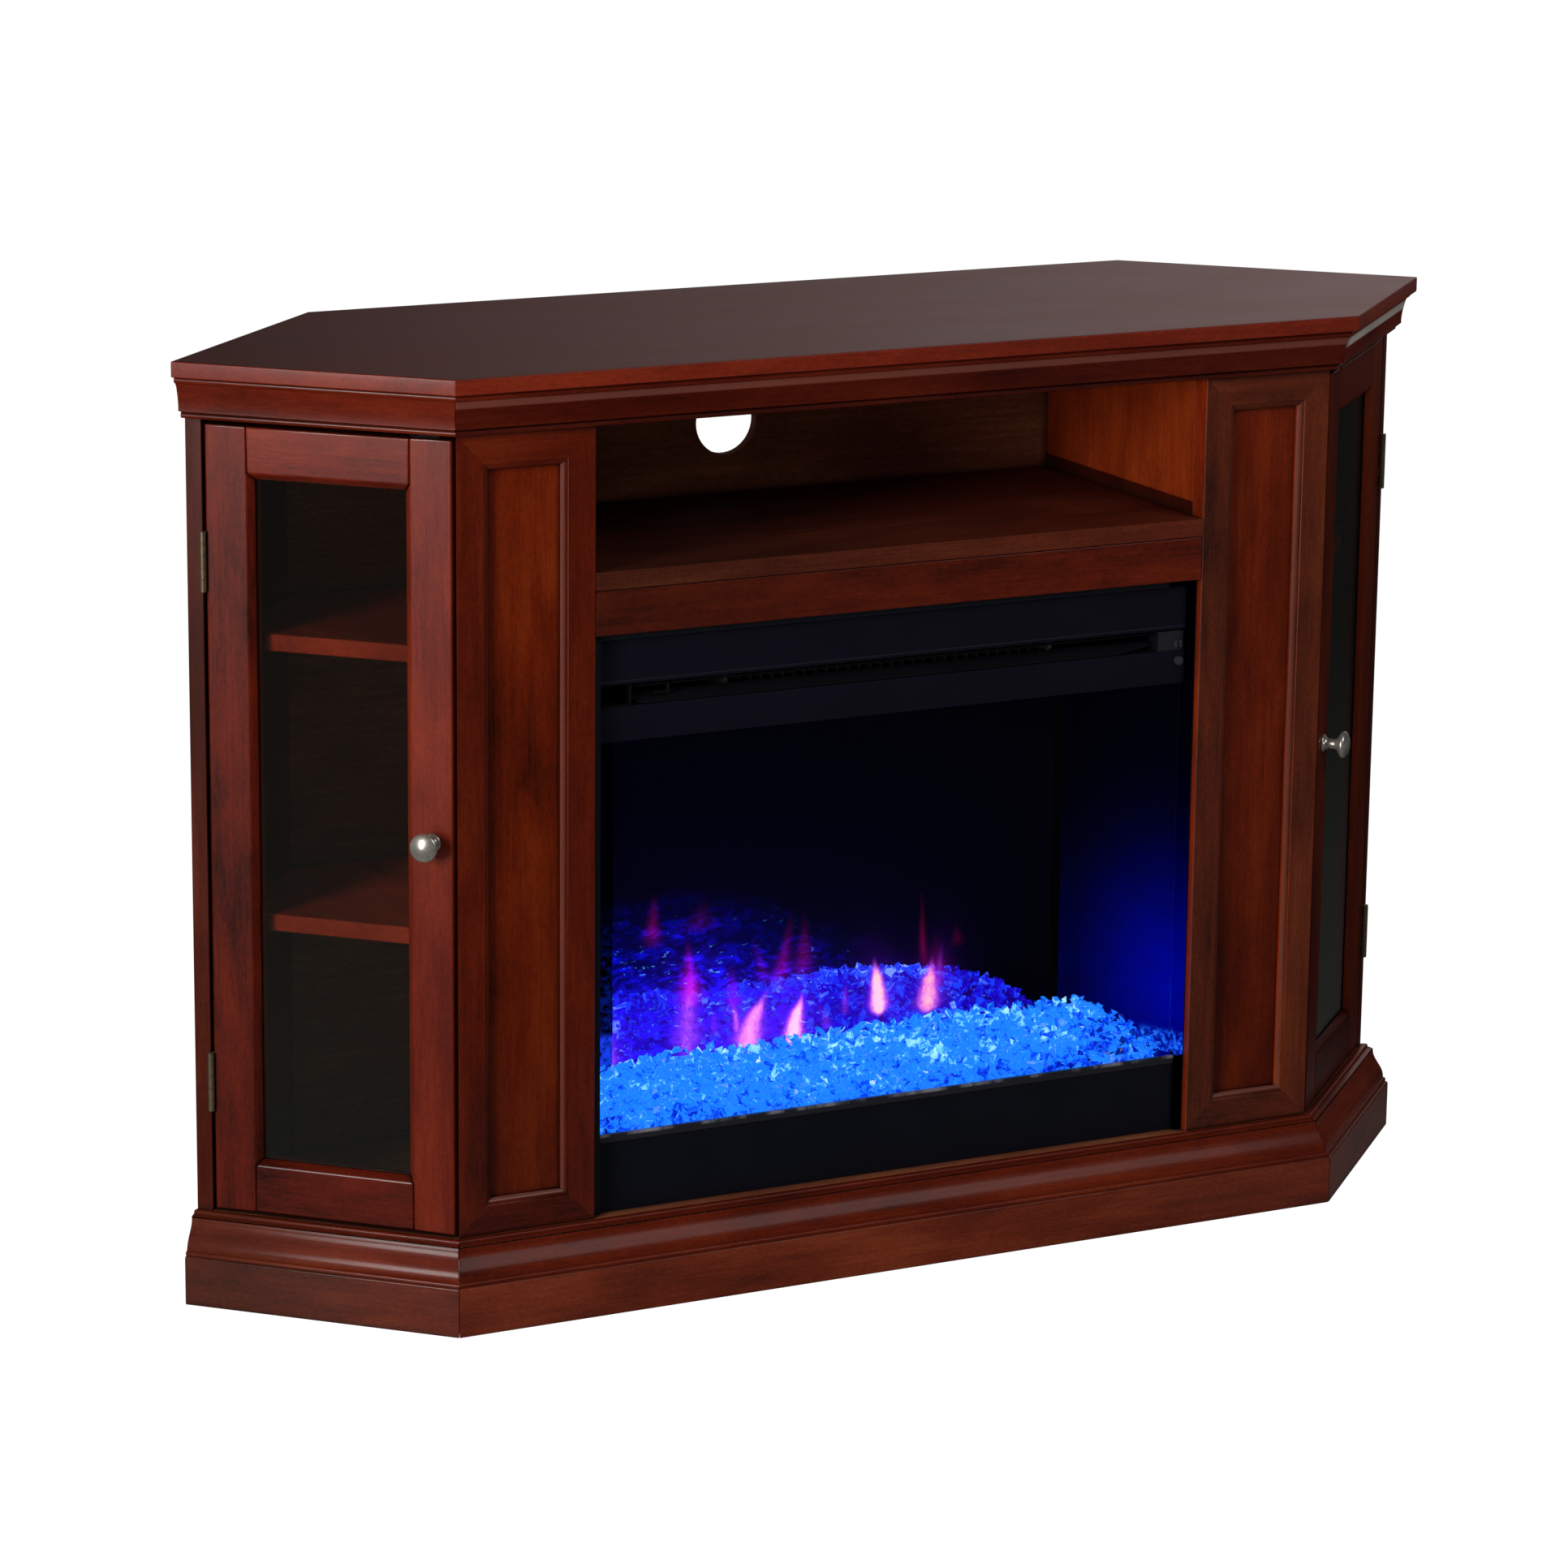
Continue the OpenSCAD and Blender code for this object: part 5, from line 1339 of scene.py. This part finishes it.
class FIREPLACE_OT_studio(Dressing, bpy.types.Operator):
    """Lay the pale floor, hang the soft lamps and set the camera where the photograph was taken from"""

    bl_idname = "fireplace.studio"
    bl_label = "Studio"

    def build(self, context):
        scene = context.scene
        studio = scene.fireplace_studio
        data = bpy.data.cameras.new("view")
        data.sensor_width = SENSOR
        data.lens = LENS
        data.clip_end = 100.0
        camera = bpy.data.objects.new("view", data)
        scene.collection.objects.link(camera)
        camera.matrix_world = look_matrix(**CAMERA)
        scene.camera = camera
        scene.view_settings.view_transform = "Standard"

        f = Finish("pale_floor")
        seen, mirrored, through = f.rays()
        x, y, _ = f.split(f.place())
        behind = y.smooth(2.5, 7.0)
        aside = (x + y * 0.46).smooth(-0.05, 0.42) * y.below(-0.8, -0.3)
        reach = (x * x + y * y) ** 0.5
        ring = reach.between(0.28, 0.45, 0.62, 0.95) * y.below(0.0, 0.4)
        grain = f.grain_noise(f.place(), 3.0, 2.0, 0.5)
        tone = f.mix(grain * 0.06, tuple(studio.floor), [c * 0.95 for c in studio.floor])
        sheet_colour = f.mix(mirrored, f.mix(seen, tone, (0.24, 0.24, 0.24)), (0.03, 0.03, 0.03))
        matt = f.principled({"Base Color": sheet_colour, "Roughness": 0.9, "Specular IOR Level": 0.1})
        shine = (seen + through) * 0.96 + mirrored * (behind * 0.5 + aside * 0.08 + ring * 0.08)
        white = f.node("ShaderNodeEmission", None, {"Color": (1, 1, 1, 1), "Strength": shine})
        sheet = f.node("ShaderNodeAddShader", None, {0: matt, 1: white})
        bm = bmesh.new()
        bmesh.ops.create_circle(bm, cap_ends=True, segments=96, radius=45.0)
        floor = bpy.data.objects.new("studio_floor", mesh_of(bm, "studio_floor"))
        scene.collection.objects.link(floor)
        dress(floor, f.surface(sheet))

        w = Finish("studio_light", "worlds")
        scene.world = w.owner
        seen, mirrored, through = w.rays()
        x, y, _ = w.split(w.node("ShaderNodeTexCoord", out="Generated"))
        behind = y.smooth(0.50, 0.80) * x.smooth(0.27, 0.76)
        far = w.mix(behind, (0.01, 0.01, 0.01), (1.24, 0.96, 0.94))
        aside = w.mix((-x).smooth(0.2, 1.0), BLACK, (0.05, 0.05, 0.05))
        unseen = w.mix(mirrored, [studio.ambient] * 3, w.mix(1.0, far, aside, "ADD"))
        total = w.mix((seen + through).clamp(), unseen, (1.0, 1.0, 1.0))
        back = w.node("ShaderNodeBackground", None, {"Color": total, "Strength": 1.0})
        w.node("ShaderNodeOutputWorld", {"target": "ALL"}, {"Surface": back})

        warm = (1.0, 0.985, 0.97)
        white = (1.0, 1.0, 1.0)
        area_lamp("side_lamp", (-3.2, -1.5, 1.08), (0.0, 0.0, 0.55), (0.8, 1.3), studio.key, warm)
        area_lamp("front_lamp", (1.2, -2.1, 2.4), (0.0, 0.0, 0.65), (1.4, 1.2), studio.fill, white)


class FIREPLACE_PT_panel(bpy.types.Panel):
    """The console's parts and their settings"""

    bl_idname = "FIREPLACE_PT_panel"
    bl_label = "Corner fireplace"
    bl_space_type = "VIEW_3D"
    bl_region_type = "UI"
    bl_category = "Fireplace"

    def draw(self, context):
        for group in GROUPS:
            box = self.layout.box()
            box.label(text=group.removeprefix("fireplace_").capitalize())
            settings = getattr(context.scene, group)
            for key in settings.__annotations__:
                box.prop(settings, key)
        for operator in OPERATORS:
            self.layout.operator(operator.bl_idname)


GROUPS = {"fireplace_wood": WoodSettings, "fireplace_fire": FireSettings, "fireplace_studio": StudioSettings}
OPERATORS = (
    FIREPLACE_OT_boards,
    FIREPLACE_OT_doors,
    FIREPLACE_OT_firebox,
    FIREPLACE_OT_embers,
    FIREPLACE_OT_flame_screen,
    FIREPLACE_OT_mechanism,
    FIREPLACE_OT_controls,
    FIREPLACE_OT_studio,
)


def register():
    for cls in (*GROUPS.values(), *OPERATORS, FIREPLACE_PT_panel):
        bpy.utils.register_class(cls)
    for name, group in GROUPS.items():
        setattr(bpy.types.Scene, name, bpy.props.PointerProperty(type=group))


def unregister():
    for name in GROUPS:
        delattr(bpy.types.Scene, name)
    for cls in reversed((*GROUPS.values(), *OPERATORS, FIREPLACE_PT_panel)):
        bpy.utils.unregister_class(cls)


def main():
    register()
    for operator in OPERATORS:
        group, name = operator.bl_idname.split(".")
        getattr(getattr(bpy.ops, group), name)()


if __name__ == "__main__":
    main()
